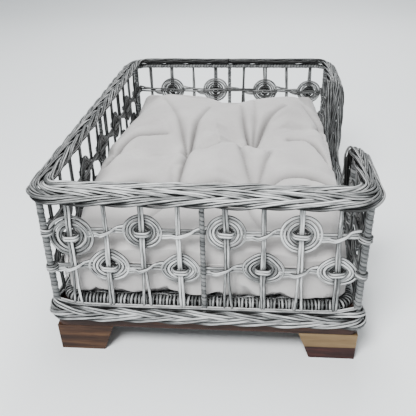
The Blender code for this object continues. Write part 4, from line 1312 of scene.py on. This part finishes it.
def make_studio():
    """Seamless floor that curves up behind, soft lights and a pale surround."""
    bend = np.radians(np.arange(10, 91, 10))
    y = np.concatenate((np.linspace(-6, 3, 10), 3 + 2 * np.sin(bend)))
    z = np.concatenate((np.zeros(10), 2 - 2 * np.cos(bend)))
    y, z = np.append(y, 5.0), np.append(z, 6.0)
    x = np.linspace(-7, 7, 8)
    rows, cols = len(y), len(x)
    grid = np.stack((np.tile(x, rows), np.repeat(y, cols), np.repeat(z, cols)), -1)
    i = np.arange(rows - 1)[:, None]
    j = np.arange(cols - 1)[None]
    quads = np.stack((i * cols + j, i * cols + j + 1, (i + 1) * cols + j + 1, (i + 1) * cols + j), -1)
    floor = new_piece("studio_paper", grid, quads.ravel(), np.full((rows - 1) * (cols - 1), 4), None,
                      {}, studio_material("studio_paper", "f0f4f5"))
    world = bpy.data.worlds.new("pale_surround")
    world.use_nodes = True
    surround = world.node_tree.nodes["Background"].inputs
    surround["Color"].default_value = linear("eef2f8")
    surround["Strength"].default_value = 0.38
    bpy.context.scene.world = world
    lights = [("key", (-0.5, -1.95, 2.2), 1.1, 134), ("top", (-0.1, 0.2, 2.6), 1.4, 26),
              ("low", (0.3, -2.4, 0.6), 1.4, 5), ("backdrop", (0.2, 2.6, 2.6), 1.5, 110)]
    for name, place, size, power in lights:
        data = bpy.data.lights.new(name, "AREA")
        data.shape = "DISK"
        data.size = size
        data.energy = power
        lamp = bpy.data.objects.new(name, data)
        aim = Vector((0, -0.05, 0.15)) - Vector(place)
        lamp.matrix_world = Matrix.Translation(place) @ aim.to_track_quat("-Z", "Y").to_matrix().to_4x4()
        bpy.context.scene.collection.objects.link(lamp)


def make_materials():
    """Every finish of the basket and the cushion."""
    walnut = ("150c0a", "2b1b16", "432c23")
    return {
        "rattan": rattan_material("greyed_rattan_core", "343636", "626464", "cdcfcf", "0a0b0b", 0.40,
                                  crest=(0.14, 0.92)),
        "wound": rattan_material("greyed_rattan_winding", "303233", "4b4d4e", "7a7c7c", "161718", 0.50,
                                 crest=(-0.05, 0.40)),
        "rail_x": timber_material("oiled_walnut_rail_x", 0, walnut),
        "rail_y": timber_material("oiled_walnut_rail_y", 1, walnut),
        "foot": timber_material("oiled_walnut_foot", 0, ("1c100b", "372317", "543c29")),
        "foot_light": timber_material("walnut_foot_with_sapwood", 0, ("180a09", "2f1715", "4a2822"),
                                      band=(0.0215, 0.060, ("5d4a31", "7a6649"), -0.02)),
        "cotton": cotton_material("unbleached_cotton", "b9b7b5", "a5a2a1", 1.6, painted_crease_shade=True),
        "zip": cotton_material("zip_tape_cotton", "dedcda", "bebbb9", 2.0),
        "label": cotton_material("label_ribbon", "f0efee", "dddbda", 1.2),
        "steel": metal_material("zinc_plated_steel", "c4c6c8", 0.35),
    }


def paint_nodes(mats):
    """Screws and the zip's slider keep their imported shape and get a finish."""
    for name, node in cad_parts.items():
        if name.startswith("foot_screw") or name == "zip_slider":
            node.data.materials.clear()
            node.data.materials.append(mats["steel"])


def main():
    """Makes the whole scene."""
    mats = make_materials()
    make_camera()
    make_studio()
    runs = wall_runs()
    make_rim(mats)
    make_foot_border(mats)
    make_stakes(runs, mats)
    make_knot_rows(runs, mats)
    make_posts(mats)
    make_floor_edge(mats)
    make_floor_panel(mats)
    make_timber(mats)
    cushion = make_cushion(mats)
    tree = make_cushion_trim(cushion, mats)
    make_label(tree, mats)
    paint_nodes(mats)


main()
